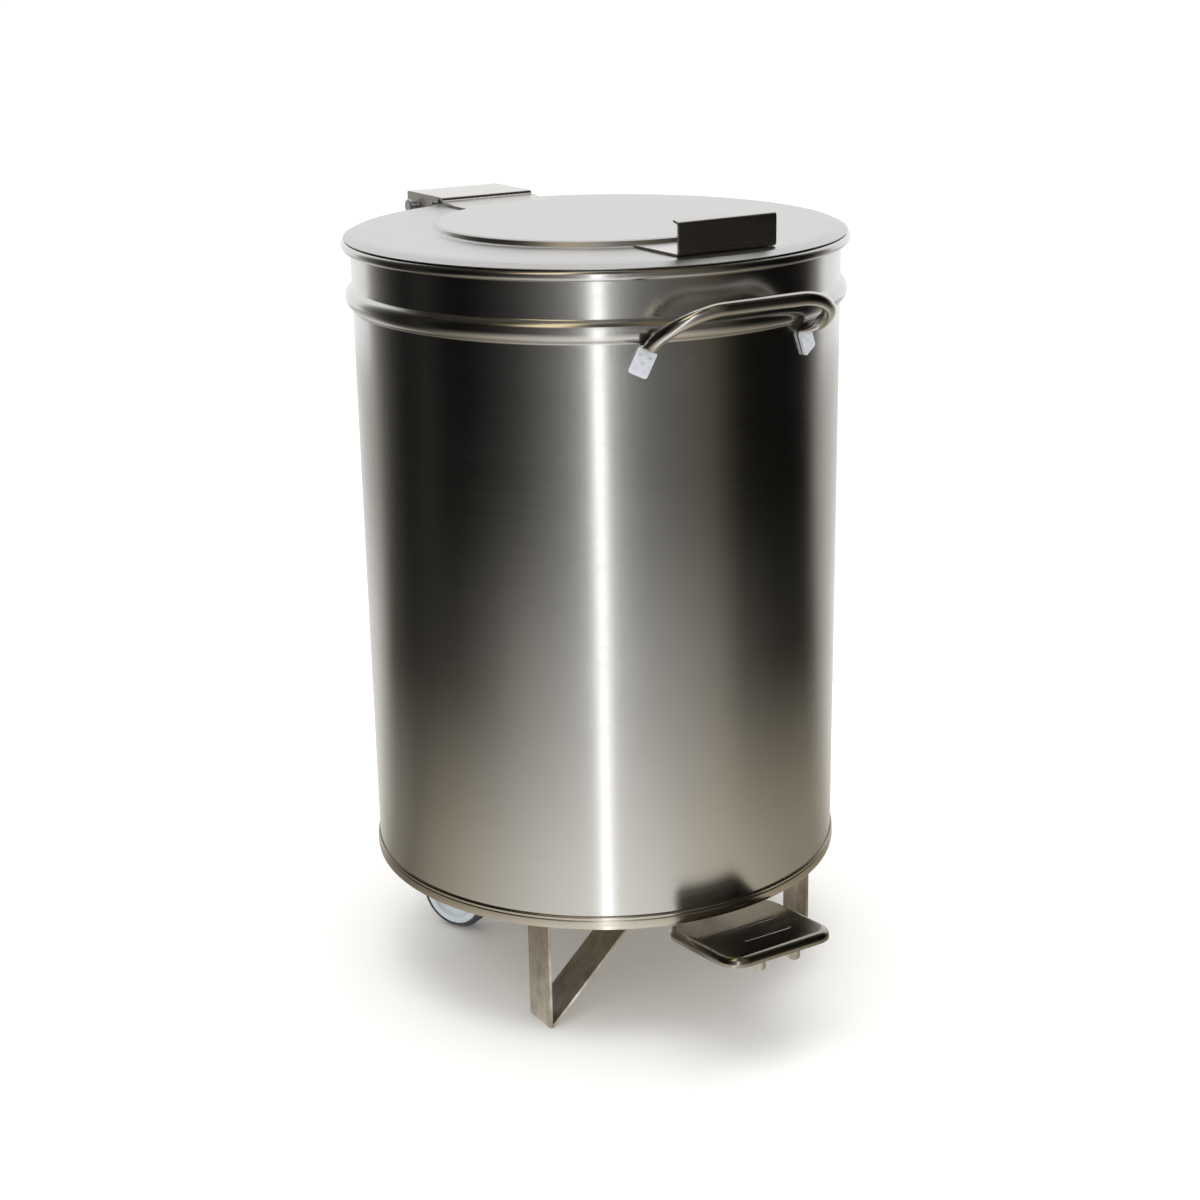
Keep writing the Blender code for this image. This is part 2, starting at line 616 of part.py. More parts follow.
def make_castor(side, zinc, hub_mat, tyre_mat):
    """Swivel castor: top plate, kingpin, fork, axle, nut, hub and tyre."""
    word = "left" if side < 0 else "right"
    swivel = Vector((side * SWIVEL.x, SWIVEL.y, 0))
    turn = Matrix.Translation(swivel) @ Matrix.Rotation(-side * CASTOR_YAW, 4, "Z")
    top = PAN_Z - SHEET - GAP
    plate_low = top - 3 * MM
    crown = 95 * MM
    pieces = {}

    plate = box("castor_plate_" + word, (-26 * MM, -26 * MM, plate_low), (26 * MM, 26 * MM, top))
    pieces["root"] = [finish(plate, zinc)]
    kingpin = cylinder("castor_kingpin_" + word, (0, 0, crown - 2.5 * MM - 3.5 * MM),
                       (0, 0, plate_low - GAP), 5 * MM)
    head_low, head_high = crown - 8 * MM, crown - 2.5 * MM - GAP
    combine(kingpin, cylinder("head", (0, 0, head_low), (0, 0, head_high), 9 * MM))
    pieces["root"].append(finish(kingpin, zinc))

    inner, outer = WHEEL_HALF + 2.5 * MM, WHEEL_HALF + 5 * MM
    fork = box("castor_fork_" + word, (-outer, -20 * MM, crown - 2.5 * MM), (outer, 20 * MM, crown))
    combine(fork, cylinder("race", (0, 0, crown - 1 * MM), (0, 0, plate_low - 1.2 * MM), 20 * MM, 24))
    cheek = [(-18 * MM, crown), (18 * MM, crown)]
    cheek += arc((-TRAIL, WHEEL_R), 9 * MM, 20, -200, 8)
    for wing in (-1, 1):
        combine(fork, extruded("cheek", cheek, PLANE_YZ, *sorted((wing * inner, wing * outer))))
    drill(fork, (0, 0, 0.08), (0, 0, 0.13), 5.3 * MM)
    axle_centre = Vector((0, -TRAIL, WHEEL_R))
    reach = Vector((0.03, 0, 0))
    drill(fork, axle_centre - reach, axle_centre + reach, 4.3 * MM)
    axle = cylinder("castor_axle_" + word, axle_centre - Vector((outer + 4 * MM, 0, 0)),
                    axle_centre + Vector((outer + 7 * MM, 0, 0)), 4 * MM)
    head_start = axle_centre - Vector((outer + 4.5 * MM, 0, 0))
    combine(axle, cylinder("head", head_start, head_start + Vector((4.2 * MM, 0, 0)), 6.5 * MM, 6))
    nut_start = axle_centre + Vector((outer + GAP, 0, 0))
    nut = cylinder("castor_nut_" + word, nut_start, nut_start + Vector((5 * MM, 0, 0)), 6.5 * MM, 6)
    drill(nut, axle_centre, axle_centre + reach, 4.3 * MM)
    pieces["fork"] = [finish(fork, zinc), finish(axle, zinc), finish(nut, zinc)]

    hub_r = WHEEL_R - 5 * MM
    lie_down = Matrix.Translation(axle_centre) @ Matrix.Rotation(math.pi / 2, 4, "Y")
    half = WHEEL_HALF
    hub_profile = [(4.4 * MM, half), (11 * MM, half), (13 * MM, 5 * MM), (26 * MM, 5 * MM)]
    hub_profile += [(28 * MM, half - 2 * MM), (hub_r, half - 2 * MM)]
    hub_profile += [(r, -h) for r, h in hub_profile[::-1]]
    hub = turned("wheel_hub_" + word, hub_profile, 28, closed=True)
    tyre_in = hub_r + GAP
    tyre_profile = [(tyre_in, half - 2 * MM), (tyre_in + 1 * MM, half - 1 * MM)]
    tyre_profile += [(WHEEL_R - 2 * MM, half - 3 * MM), (WHEEL_R, half - 7 * MM)]
    tyre_profile += [(r, -h) for r, h in tyre_profile[::-1]]
    tyre = turned("wheel_tyre_" + word, tyre_profile, 28, closed=True)
    for wheel_piece in (hub, tyre):
        apply_modifiers(wheel_piece)
        wheel_piece.data.transform(lie_down)
    pieces["wheel"] = [finish(hub, hub_mat), finish(tyre, tyre_mat)]

    for group in pieces.values():
        for piece in group:
            piece.data.transform(turn)
    bpy.context.view_layer.update()
    swivel_axis = axis_empty("castor_axis_" + word, swivel)
    wheel_axis = axis_empty("wheel_axis_" + word, turn @ axle_centre)
    for piece in pieces["fork"]:
        finish(piece, zinc, swivel_axis)
    for piece, look in zip(pieces["wheel"], (hub_mat, tyre_mat)):
        finish(piece, look, wheel_axis)


# ---------------------------------------------------------------- build

def build():
    drum_steel = steel("drum_steel")
    lid_steel = steel("lid_steel", 0.66, 0.34)
    leg_steel = steel("leg_steel", 0.5, 0.42)
    fitting_steel = steel("fitting_steel", 0.55, 0.32)
    zinc = material("zinc", (0.62, 0.64, 0.66), 0.35, 1.0)
    hub_plastic = material("hub_plastic", (0.72, 0.76, 0.8), 0.45, 0.0)
    tyre_rubber = material("tyre_rubber", (0.05, 0.06, 0.08), 0.6, 0.0)

    make_drum(drum_steel)
    make_base_pan(drum_steel)
    for side in (-1, 1):
        make_leg(side, leg_steel)
        make_castor(side, zinc, hub_plastic, tyre_rubber)
    make_front_handle(fitting_steel)
    make_hinge_bracket(fitting_steel)
    make_pin("hinge_pin", HINGE, 56 * MM, 4 * MM, fitting_steel)
    make_pedal_bracket(fitting_steel)
    make_pin("pedal_pin", PEDAL_PIVOT, 32 * MM, 4 * MM, fitting_steel)

    lid_axis = axis_empty("lid_axis", HINGE)
    make_lid(lid_steel, lid_axis)
    make_lid_handle(fitting_steel, lid_axis)
    make_hinge_strap(fitting_steel, lid_axis)
    make_rod_lug(fitting_steel, lid_axis)
    make_push_rod(fitting_steel, axis_empty("rod_axis", ROD_PIN))

    pedal_axis = axis_empty("pedal_axis", PEDAL_PIVOT)
    make_pedal_plate(fitting_steel, pedal_axis)
    make_lever(fitting_steel, pedal_axis)


build()
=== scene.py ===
"""Looks of a round stainless-steel pedal bin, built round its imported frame.

Every part of the frame is redone as a fine mesh and given a node material: circumferentially
brushed steel for the drum, satin sheet for the lid, polished fittings, mill-finish bar for the
legs, zinc, plastic and rubber for the castors. Lengths are metres and the front faces -Y.
"""
import json
import math

import bmesh
import bpy
from mathutils import Matrix, Vector


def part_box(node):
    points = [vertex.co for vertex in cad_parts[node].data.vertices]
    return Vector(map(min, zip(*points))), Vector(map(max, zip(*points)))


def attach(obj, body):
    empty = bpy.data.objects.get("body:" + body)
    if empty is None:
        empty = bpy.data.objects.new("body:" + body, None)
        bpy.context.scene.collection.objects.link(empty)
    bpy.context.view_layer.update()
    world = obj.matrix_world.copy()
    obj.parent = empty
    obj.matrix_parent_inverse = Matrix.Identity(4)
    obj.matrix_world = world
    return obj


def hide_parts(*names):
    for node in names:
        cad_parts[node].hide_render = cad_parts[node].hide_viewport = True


MM = 0.001
TURN_STEPS = 240            # facets round the drum and the lid
WHEEL_STEPS = 120           # facets round hubs and tyres
BAR_STEPS = 64              # facets round pins, rods and holes

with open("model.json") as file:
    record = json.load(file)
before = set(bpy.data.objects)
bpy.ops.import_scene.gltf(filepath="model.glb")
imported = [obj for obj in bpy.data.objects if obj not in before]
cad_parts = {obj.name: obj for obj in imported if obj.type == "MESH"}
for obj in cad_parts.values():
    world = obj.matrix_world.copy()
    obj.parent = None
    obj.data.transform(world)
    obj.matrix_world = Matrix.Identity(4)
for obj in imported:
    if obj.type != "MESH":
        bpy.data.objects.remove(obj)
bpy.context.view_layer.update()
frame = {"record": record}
NODE_BODY = {node: body for body, nodes in frame["record"]["behaviour"]["bodies"].items()
             for node in nodes}

# Drum, ring and lid, as in the frame
BODY_R = 225 * MM
SHEET = 1.2 * MM
BASE_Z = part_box("base_pan")[0].z
RIM_TUBE = 4.2 * MM
RIM_Z = 709.3 * MM
BEAD_Z = 662.3 * MM
BEAD_HALF = 9.5 * MM
BEAD_OUT = 6.3 * MM
BEAD_REACH = 18 * MM        # half the height of wall that is drawn finely at the bead
RING_TOP = 128 * MM
PAN_Z = 120.6 * MM
LID_FLAT_Z = 720 * MM
LID_R = 231 * MM
DISC_R = 144 * MM
DISC_RAISE = 6 * MM
LID_EDGE_Z = 715.4 * MM
GAP = 0.3 * MM

# Linkage
HINGE = Vector((0, 266, 714)) * MM
CRANK = 18.7 * MM           # from the hinge axis to the pin of the push rod
CRANK_ANGLE = math.radians(38)
ROD_PIN = HINGE + CRANK * Vector((0, -math.cos(CRANK_ANGLE), -math.sin(CRANK_ANGLE)))
PEDAL_PIVOT = Vector((0, 60, 83)) * MM
PEDAL_LOW = Vector((-59, -304, 105.1)) * MM
PEDAL_HIGH = Vector((59, -190, 114.6)) * MM
PEDAL_SLOPE = math.radians(5.7)
ARM_X = 19 * MM
ARM_T = 4 * MM
EAR_R = 9 * MM              # rounded ends of the hinge's ears and flanges
PIN_R = 4 * MM
PIN_HOLE_R = 4.3 * MM
ROD_PIN_R = 3 * MM
ROD_HOLE_R = 3.3 * MM

# Front handle
TUBE_R = 6 * MM
PAD_HALF_W = 8.75 * MM
PAD_HALF_T = 1.5 * MM
PAD_HALF_L = 12 * MM
PAD_ANGLE = math.radians(22)
PAD_TILT = math.radians(25)
PAD_Z = 636 * MM
GRIP = Vector((38, -263.5, 683.6)) * MM

# Castors
SWIVEL = Vector((130, 125, 0)) * MM
CASTOR_YAW = math.radians(24.3)
TRAIL = 28 * MM
WHEEL_R = 39 * MM
WHEEL_HALF = 12 * MM

# Marks on the drum's front
SMEAR_CENTRE = (-0.047, -0.222, 0.628)
RING_CENTRE = (-0.0722, -0.2129, 0.6817)
RING_R = 5.2 * MM

# Planes for flat outlines: outline x and outline y go to these world axes
PLANE_YZ = Matrix(((0, 0, 1), (1, 0, 0), (0, 1, 0))).to_4x4()
PLANE_XZ = Matrix(((1, 0, 0), (0, 0, -1), (0, 1, 0))).to_4x4()
PLANE_XY = Matrix.Identity(4)

# Camera
CAMERA_TURN = math.radians(31.5)        # from the bin's front towards its left side
CAMERA_DISTANCE = 1.9395
CAMERA_HEIGHT = 0.9878
CAMERA_PITCH = math.radians(18.03)
CAMERA_YAW = math.radians(-0.04)
CAMERA_ROLL = math.radians(-0.973)
LENS = 62.9                             # focal length and sensor width, in millimetres
SENSOR = 36


# ---------------------------------------------------------------- mesh helpers

def add_mesh(name, bm, sharp_deg=32):
    """Object from a bmesh, smooth but for its sharp edges."""
    bmesh.ops.recalc_face_normals(bm, faces=bm.faces)
    mesh = bpy.data.meshes.new(name)
    bm.to_mesh(mesh)
    bm.free()
    mesh.shade_smooth()
    mesh.set_sharp_from_angle(angle=math.radians(sharp_deg))
    made = bpy.data.objects.new(name, mesh)
    bpy.context.scene.collection.objects.link(made)
    return made


def bake(made, sharp_deg=32):
    """Turn the modifiers into mesh."""
    bpy.context.view_layer.update()
    depsgraph = bpy.context.evaluated_depsgraph_get()
    mesh = bpy.data.meshes.new_from_object(made.evaluated_get(depsgraph))
    made.modifiers.clear()
    made.data = mesh
    mesh.shade_smooth()
    mesh.set_sharp_from_angle(angle=math.radians(sharp_deg))
    return made


def bevel(made, width, segments=3, angle_deg=32):
    step = made.modifiers.new("edges", "BEVEL")
    step.width = width
    step.segments = segments
    step.limit_method = "ANGLE"
    step.angle_limit = math.radians(angle_deg)
    return bake(made)


def combine(made, other, operation="UNION"):
    """Boolean of two objects; the other one is used up."""
    step = made.modifiers.new(operation.lower(), "BOOLEAN")
    step.operation = operation
    step.solver = "EXACT"
    step.object = other
    bake(made)
    bpy.data.objects.remove(other, do_unlink=True)
    return made


def turned(name, outline, steps=TURN_STEPS, matrix=None):
    """Turn a closed outline of (radius, height) points round the Z axis."""
    bm = bmesh.new()
    rings = []
    for radius, height in outline:
        if radius < 1e-6:
            rings.append([bm.verts.new((0, 0, height))])
            continue
        ring = []
        for i in range(steps):
            angle = 2 * math.pi * i / steps
            ring.append(bm.verts.new((radius * math.cos(angle), radius * math.sin(angle), height)))
        rings.append(ring)
    for first, second in zip(rings, rings[1:] + rings[:1]):
        if len(first) == 1 and len(second) == 1:
            continue
        for i in range(steps):
            j = (i + 1) % steps
            corners = [first[i % len(first)], first[j % len(first)],
                       second[j % len(second)], second[i % len(second)]]
            bm.faces.new(list(dict.fromkeys(corners)))
    if matrix:
        bmesh.ops.transform(bm, matrix=matrix, verts=bm.verts)
    return add_mesh(name, bm)


def bar(name, start, end, radius, edge=0.4 * MM, steps=BAR_STEPS, bore=0):
    """Round bar, or a bush when it has a bore, with broken edges."""
    start, end = Vector(start), Vector(end)
    length = (end - start).length
    outline = [(bore, edge), (bore + edge, 0)] if bore else [(0, 0)]
    outline += [(radius - edge, 0), (radius - edge * 0.3, edge * 0.3), (radius, edge)]
    outline += [(radius, length - edge), (radius - edge * 0.3, length - edge * 0.3)]
    outline += [(radius - edge, length)]
    outline += [(bore + edge, length), (bore, length - edge)] if bore else [(0, length)]
    turn = Vector((0, 0, 1)).rotation_difference(end - start).to_matrix().to_4x4()
    return turned(name, outline, steps, Matrix.Translation(start) @ turn)


def drill(made, start, end, radius):
    return combine(made, bar("drill", start, end, radius), "DIFFERENCE")


def box(name, low, high):
    low, high = Vector(low), Vector(high)
    bm = bmesh.new()
    bmesh.ops.create_cube(bm, size=1)
    bmesh.ops.scale(bm, vec=high - low, verts=bm.verts)
    bmesh.ops.translate(bm, vec=(high + low) / 2, verts=bm.verts)
    return add_mesh(name, bm)


def extruded(name, outline, plane, low, high):
    """Flat closed outline extruded between two positions along the plane's normal."""
    bm = bmesh.new()
    first = [bm.verts.new(plane @ Vector((x, y, low))) for x, y in outline]
    second = [bm.verts.new(plane @ Vector((x, y, high))) for x, y in outline]
    bm.faces.new(first)
    bm.faces.new(second)
    for i in range(len(outline)):
        j = (i + 1) % len(outline)
        bm.faces.new((first[i], first[j], second[j], second[i]))
    return add_mesh(name, bm)


def arc(centre, radius, start_deg, end_deg, count):
    """Points on an arc, in the plane of a profile or an outline."""
    points = []
    for i in range(count + 1):
        angle = math.radians(start_deg + (end_deg - start_deg) * i / count)
        points.append((centre[0] + radius * math.cos(angle), centre[1] + radius * math.sin(angle)))
    return points


def fillet(path, radius, count=8, closed=False):
    """Round the corners of a path of 2D points."""
    path = [Vector(point) for point in path]
    if closed:
        path = [path[-1]] + path + [path[0]]
    points = [] if closed else [path[0]]
    for before, corner, after in zip(path, path[1:], path[2:]):
        to_before, to_after = before - corner, after - corner
        opening = to_before.angle(to_after)
        if opening > math.radians(172):
            points.append(corner)
            continue
        reach = radius / math.tan(opening / 2)
        limit = 0.49 * min(to_before.length, to_after.length)
        size = radius * min(1, limit / reach)
        reach = min(reach, limit)
        to_before.normalize()
        to_after.normalize()
        centre = corner + (to_before + to_after).normalized() * size / math.sin(opening / 2)
        first = corner + to_before * reach - centre
        last = corner + to_after * reach - centre
        start = math.atan2(first.y, first.x)
        turn = (math.atan2(last.y, last.x) - start + math.pi) % (2 * math.pi) - math.pi
        points += arc(centre, size, math.degrees(start), math.degrees(start + turn), count)
    return points if closed else points + [path[-1]]


def offset_path(path, distance):
    """Path moved to its right-hand side."""
    path = [Vector(point) for point in path]
    moved = []
    for i, point in enumerate(path):
        before = (point - path[i - 1]).normalized() if i else None
        after = (path[i + 1] - point).normalized() if i + 1 < len(path) else None
        before = before or after
        after = after or before
        mean = (before + after).normalized()
        right = Vector((mean.y, -mean.x))
        moved.append(point + right * distance / max(0.3, mean.dot(before)))
    return moved


def sheet_outline(path, thickness):
    """Closed outline of a bent sheet whose left-hand face follows the path."""
    return [Vector(point) for point in path] + offset_path(path, thickness)[::-1]


def wall_outline(path, thickness):
    """Closed outline of a sheet whose middle follows the path."""
    return offset_path(path, -thickness / 2) + offset_path(path, thickness / 2)[::-1]


def smoothed(path, passes, first, last):
    """Relax the points of a path between two indices."""
    path = [Vector(point) for point in path]
    for _ in range(passes):
        old = [point.copy() for point in path]
        for i in range(max(1, first), min(len(path) - 1, last)):
            path[i] = (old[i - 1] + old[i] * 2 + old[i + 1]) / 4
    return path


def put(made, look, *nodes):
    """Give a piece its material and let it stand for nodes of the frame."""
    made.data.materials.clear()
    made.data.materials.append(look)
    weigh = made.modifiers.new("flat_shading", "WEIGHTED_NORMAL")
    weigh.keep_sharp = True
    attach(made, NODE_BODY[nodes[0]])
    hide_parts(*nodes)
    return made


# ---------------------------------------------------------------- materials

class Shader:
    """Short hand for a node material round one Principled BSDF."""

    def __init__(self, name):
        self.made = bpy.data.materials.new(name)
        self.made.use_nodes = True
        self.tree = self.made.node_tree
        self.main = self.tree.nodes["Principled BSDF"]
        self.point = self.node("ShaderNodeTexCoord").outputs["Object"]

    def node(self, kind, **values):
        made = self.tree.nodes.new(kind)
        for key, value in values.items():
            setattr(made, key, value)
        return made

    def link(self, output, target):
        self.tree.links.new(output, target)

    def feed(self, socket, value):
        """Give a socket a colour, a number or another node's output; None leaves it alone."""
        if isinstance(value, tuple):
            socket.default_value = (*value, 1)
        elif isinstance(value, (int, float)):
            socket.default_value = value
        elif value is not None:
            self.link(value, socket)

    def noise(self, scale, detail=3, rough=0.5, stretch=(1, 1, 1)):
        """Noise in object space; stretch multiplies each axis."""
        mapping = self.node("ShaderNodeMapping")
        mapping.inputs["Scale"].default_value = stretch
        self.link(self.point, mapping.inputs["Vector"])
        made = self.node("ShaderNodeTexNoise")
        made.inputs["Scale"].default_value = scale
        made.inputs["Detail"].default_value = detail
        made.inputs["Roughness"].default_value = rough
        self.link(mapping.outputs["Vector"], made.inputs["Vector"])
        return made.outputs["Fac"]

    def remap(self, value, from_low, from_high, to_low, to_high):
        made = self.node("ShaderNodeMapRange")
        for key, number in (("From Min", from_low), ("From Max", from_high),
                            ("To Min", to_low), ("To Max", to_high)):
            made.inputs[key].default_value = number
        self.link(value, made.inputs["Value"])
        return made.outputs["Result"]

    def math(self, operation, first, second=None, clamp=False):
        made = self.node("ShaderNodeMath", operation=operation, use_clamp=clamp)
        for socket, value in zip(made.inputs, (first, second)):
            self.feed(socket, value)
        return made.outputs["Value"]

    def mix(self, factor, first, second):
        """Colour mix; first and second are colours or sockets."""
        made = self.node("ShaderNodeMix", data_type="RGBA")
        for socket, value in ((made.inputs["Factor"], factor), (made.inputs[6], first),
                              (made.inputs[7], second)):
            self.feed(socket, value)
        return made.outputs[2]

    def distance(self, centre):
        """Distance from a point of the object."""
        made = self.node("ShaderNodeVectorMath", operation="DISTANCE")
        self.link(self.point, made.inputs[0])
        made.inputs[1].default_value = centre
        return made.outputs["Value"]

    def bump(self, height, strength, distance):
        made = self.node("ShaderNodeBump")
        made.inputs["Strength"].default_value = strength
        made.inputs["Distance"].default_value = distance
        self.link(height, made.inputs["Height"])
        self.link(made.outputs["Normal"], self.main.inputs["Normal"])

    def finish(self, color, roughness, metallic, **constants):
        for key, value in (("Base Color", color), ("Roughness", roughness), ("Metallic", metallic)):
            self.feed(self.main.inputs[key], value)
        for key, value in constants.items():
            self.main.inputs[key.replace("_", " ")].default_value = value
        return self.made


def brushed_steel(name, stretch, light, roughness, spread, grain):
    """Steel with a fine grain: noise drawn out along the axis that stretch makes short."""
    s = Shader(name)
    hair = s.noise(900, 3, 0.6, stretch)
    band = s.noise(160, 2, 0.5, stretch)
    cloud = s.noise(7, 3, 0.55)
    dark = tuple(channel * 0.93 for channel in light)
    color = s.mix(s.remap(cloud, 0.35, 0.65, 0, 1), dark, light)
    streak = s.math("ADD", s.remap(hair, 0.3, 0.7, -0.5, 0.5), s.remap(band, 0.3, 0.7, -0.5, 0.5))
    rough = s.math("ADD", s.remap(cloud, 0.3, 0.7, roughness - spread * 0.6, roughness + spread * 0.6),
                   s.math("MULTIPLY", streak, spread * 0.5))
    s.bump(s.math("ADD", hair, s.math("MULTIPLY", band, 0.6)), 0.12 * grain, 0.05 * MM)
    return s.finish(color, rough, 1.0)


def drum_steel():
    """Brushed round the drum, with a polishing smear and a faint ring mark on its front."""
    s = Shader("drum_brushed_steel")
    stretch = (0.03, 0.03, 1)
    hair = s.noise(1100, 3, 0.6, stretch)
    band = s.noise(170, 2, 0.5, stretch)
    cloud = s.noise(5, 4, 0.6)
    upright = s.noise(26, 2, 0.5, (1, 1, 0.04))
    streak = s.math("ADD", s.remap(hair, 0.3, 0.7, -0.5, 0.5), s.remap(band, 0.3, 0.7, -0.5, 0.5))
    rough = s.math("ADD", s.remap(cloud, 0.3, 0.7, 0.19, 0.22), s.math("MULTIPLY", streak, 0.025))
    smear_noise = s.remap(s.noise(70, 5, 0.7, (1, 1, 1.6)), 0.42, 0.8, 0, 0.7)
    smear_zone = s.remap(s.distance(SMEAR_CENTRE), 4 * MM, 28 * MM, 1, 0)
    smear = s.math("MULTIPLY", smear_noise, smear_zone)
    off_ring = s.math("ABSOLUTE", s.math("SUBTRACT", s.distance(RING_CENTRE), RING_R))
    ring = s.remap(off_ring, 0.25 * MM, 0.8 * MM, 0.5, 0)
    marks = s.math("ADD", smear, ring, clamp=True)
    rough = s.math("ADD", rough, s.math("MULTIPLY", marks, 0.12), clamp=True)
    base = s.mix(s.remap(cloud, 0.35, 0.65, 0, 1), (0.55, 0.545, 0.53), (0.575, 0.57, 0.56))
    color = s.mix(marks, base, (0.66, 0.66, 0.65))
    height = s.math("ADD", s.math("MULTIPLY", hair, 0.25), s.math("MULTIPLY", band, 0.12))
    s.bump(s.math("ADD", height, s.math("MULTIPLY", upright, 1.4)), 0.1, 0.06 * MM)
    return s.finish(color, rough, 1.0)


def mill_steel():
    """Hot-rolled bar left as it came: dull, mottled brown-grey with drawn lines."""
    s = Shader("mill_finish_steel")
    cloud = s.noise(60, 5, 0.62, (1, 1, 0.5))
    fine = s.noise(700, 3, 0.6, (1, 1, 0.12))
    color = s.mix(s.remap(cloud, 0.35, 0.68, 0, 1), (0.35, 0.315, 0.265), (0.55, 0.52, 0.465))
    color = s.mix(s.remap(fine, 0.55, 0.75, 0, 0.5), color, (0.25, 0.21, 0.17))
    rough = s.math("ADD", s.remap(cloud, 0.3, 0.7, 0.5, 0.38), s.remap(fine, 0.3, 0.7, -0.05, 0.05))
    s.bump(s.math("ADD", cloud, s.math("MULTIPLY", fine, 0.4)), 0.2, 0.1 * MM)
    return s.finish(color, rough, 1.0)


def pad_metal():
    """Pickled and blasted weld plate: pale and matt."""
    s = Shader("pickled_pad")
    cloud = s.noise(240, 4, 0.6)
    color = s.mix(s.remap(cloud, 0.3, 0.7, 0, 1), (0.60, 0.62, 0.66), (0.70, 0.72, 0.76))
    s.bump(s.noise(1500, 2), 0.15, 0.05 * MM)
    return s.finish(color, s.remap(cloud, 0.3, 0.7, 0.5, 0.62), 0.2)


def zinc():
    """Blue-white zinc plating with a faint spangle."""
    s = Shader("zinc_plating")
    cells = s.node("ShaderNodeTexVoronoi")
    cells.inputs["Scale"].default_value = 260
    s.link(s.point, cells.inputs["Vector"])
    spangle = s.remap(cells.outputs["Distance"], 0, 0.8, 0, 1)
    cloud = s.noise(90, 4, 0.6)
    color = s.mix(spangle, (0.56, 0.58, 0.60), (0.66, 0.68, 0.71))
    color = s.mix(s.remap(cloud, 0.55, 0.75, 0, 0.4), color, (0.48, 0.47, 0.44))
    s.bump(cloud, 0.1, 0.1 * MM)
    return s.finish(color, s.remap(cloud, 0.3, 0.7, 0.28, 0.42), 1.0)


def hub_plastic():
    s = Shader("hub_plastic")
    cloud = s.noise(45, 3)
    fine = s.noise(900, 2)
    color = s.mix(s.remap(cloud, 0.3, 0.7, 0, 1), (0.60, 0.66, 0.70), (0.70, 0.75, 0.78))
    s.bump(fine, 0.12, 0.08 * MM)
    return s.finish(color, s.remap(fine, 0.3, 0.7, 0.38, 0.5), 0.0)


def tyre_rubber():
    s = Shader("tyre_rubber")
    dust = s.noise(120, 4, 0.65)
    fine = s.noise(1600, 2)
    color = s.mix(s.remap(dust, 0.45, 0.75, 0, 1), (0.055, 0.062, 0.085), (0.13, 0.135, 0.15))
    s.bump(fine, 0.3, 0.12 * MM)
    return s.finish(color, s.remap(dust, 0.3, 0.7, 0.55, 0.75), 0.0)


# ---------------------------------------------------------------- drum

def make_drum(look):
    """Rolled rim, straight wall and one swaged bead whose foot blends into the wall."""
    middle = BODY_R - SHEET / 2
    path = arc((middle + RIM_TUBE, RIM_Z), RIM_TUBE, -105, 180, 40)
    bead_r = (BEAD_HALF ** 2 + BEAD_OUT ** 2) / (2 * BEAD_OUT)
    first = len(path)
    steps = 72
    for i in range(steps + 1):
        height = BEAD_REACH * (1 - 2 * i / steps)
        out = 0
        if abs(height) < BEAD_HALF:
            out = math.sqrt(bead_r ** 2 - height ** 2) - bead_r + BEAD_OUT
        path.append((middle + out, BEAD_Z + height))
    path = smoothed(path, 7, first + 1, len(path) - 1)
    path += [(middle, z * MM) for z in range(630, 130, -20)]
    path.append((middle, BASE_Z + 2.2 * MM))
    put(turned("drum_wall", wall_outline(path, SHEET)), look, "drum_shell")


def make_base_pan(look):
    """Bottom disc; its edge is folded up round the drum as a ring with a small bead on top."""
    disc = PAN_Z - SHEET / 2
    inner = BODY_R - SHEET - GAP - SHEET / 2
    outer = BODY_R + GAP + SHEET / 2
    bottom = BASE_Z + SHEET / 2
    path = [(outer - 0.25 * MM, RING_TOP), (outer + 0.35 * MM, RING_TOP - 0.8 * MM)]
    path += [(outer + 0.35 * MM, RING_TOP - 2.2 * MM), (outer - 0.25 * MM, RING_TOP - 3.0 * MM)]
    path += [(outer + 0.3 * MM, RING_TOP - 4.2 * MM), (outer + 0.55 * MM, RING_TOP - 6.5 * MM)]
    path += [(outer + 0.55 * MM, BASE_Z + 4 * MM), (outer + 0.1 * MM, BASE_Z + 1.6 * MM)]
    path += [(outer - 1.2 * MM, bottom), (inner, bottom), (inner - 2 * MM, disc), (0, disc)]
    path = fillet(path, 1.2 * MM, 5)
    put(turned("base_ring", wall_outline(path, SHEET)), look, "base_pan")


def make_leg(side, look):
    name = "leg_left" if side < 0 else "leg_right"
    low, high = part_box(name)
    top, thick, foot_flat, top_x, x = high.z, 3 * MM, 3.5 * MM, 19 * MM, 150 * MM
    inner_foot = x - foot_flat
    slope = top / (inner_foot - top_x)
    slant = thick * math.hypot(1, slope) / slope
    crotch_x = x - thick
    crotch_z = (inner_foot + slant - crotch_x) * slope
    outline = [(x, top), (x, 0), (inner_foot, 0), (top_x, top), (top_x + slant, top)]
    outline += [(crotch_x, crotch_z), (crotch_x, top)]
    outline = [(side * px, pz) for px, pz in outline]
    leg = extruded(name + "_bar", outline, PLANE_XZ, -high.y, -low.y)
    put(bevel(leg, 0.5 * MM), look, name)


# ---------------------------------------------------------------- front handle

def bezier(start, control_1, control_2, end, count):
    """Points of a cubic Bezier, without its first point."""
    points = []
    for i in range(1, count + 1):
        t = i / count
        s = 1 - t
        points.append(start * s ** 3 + control_1 * 3 * s * s * t + control_2 * 3 * s * t * t
                      + end * t ** 3)
    return points


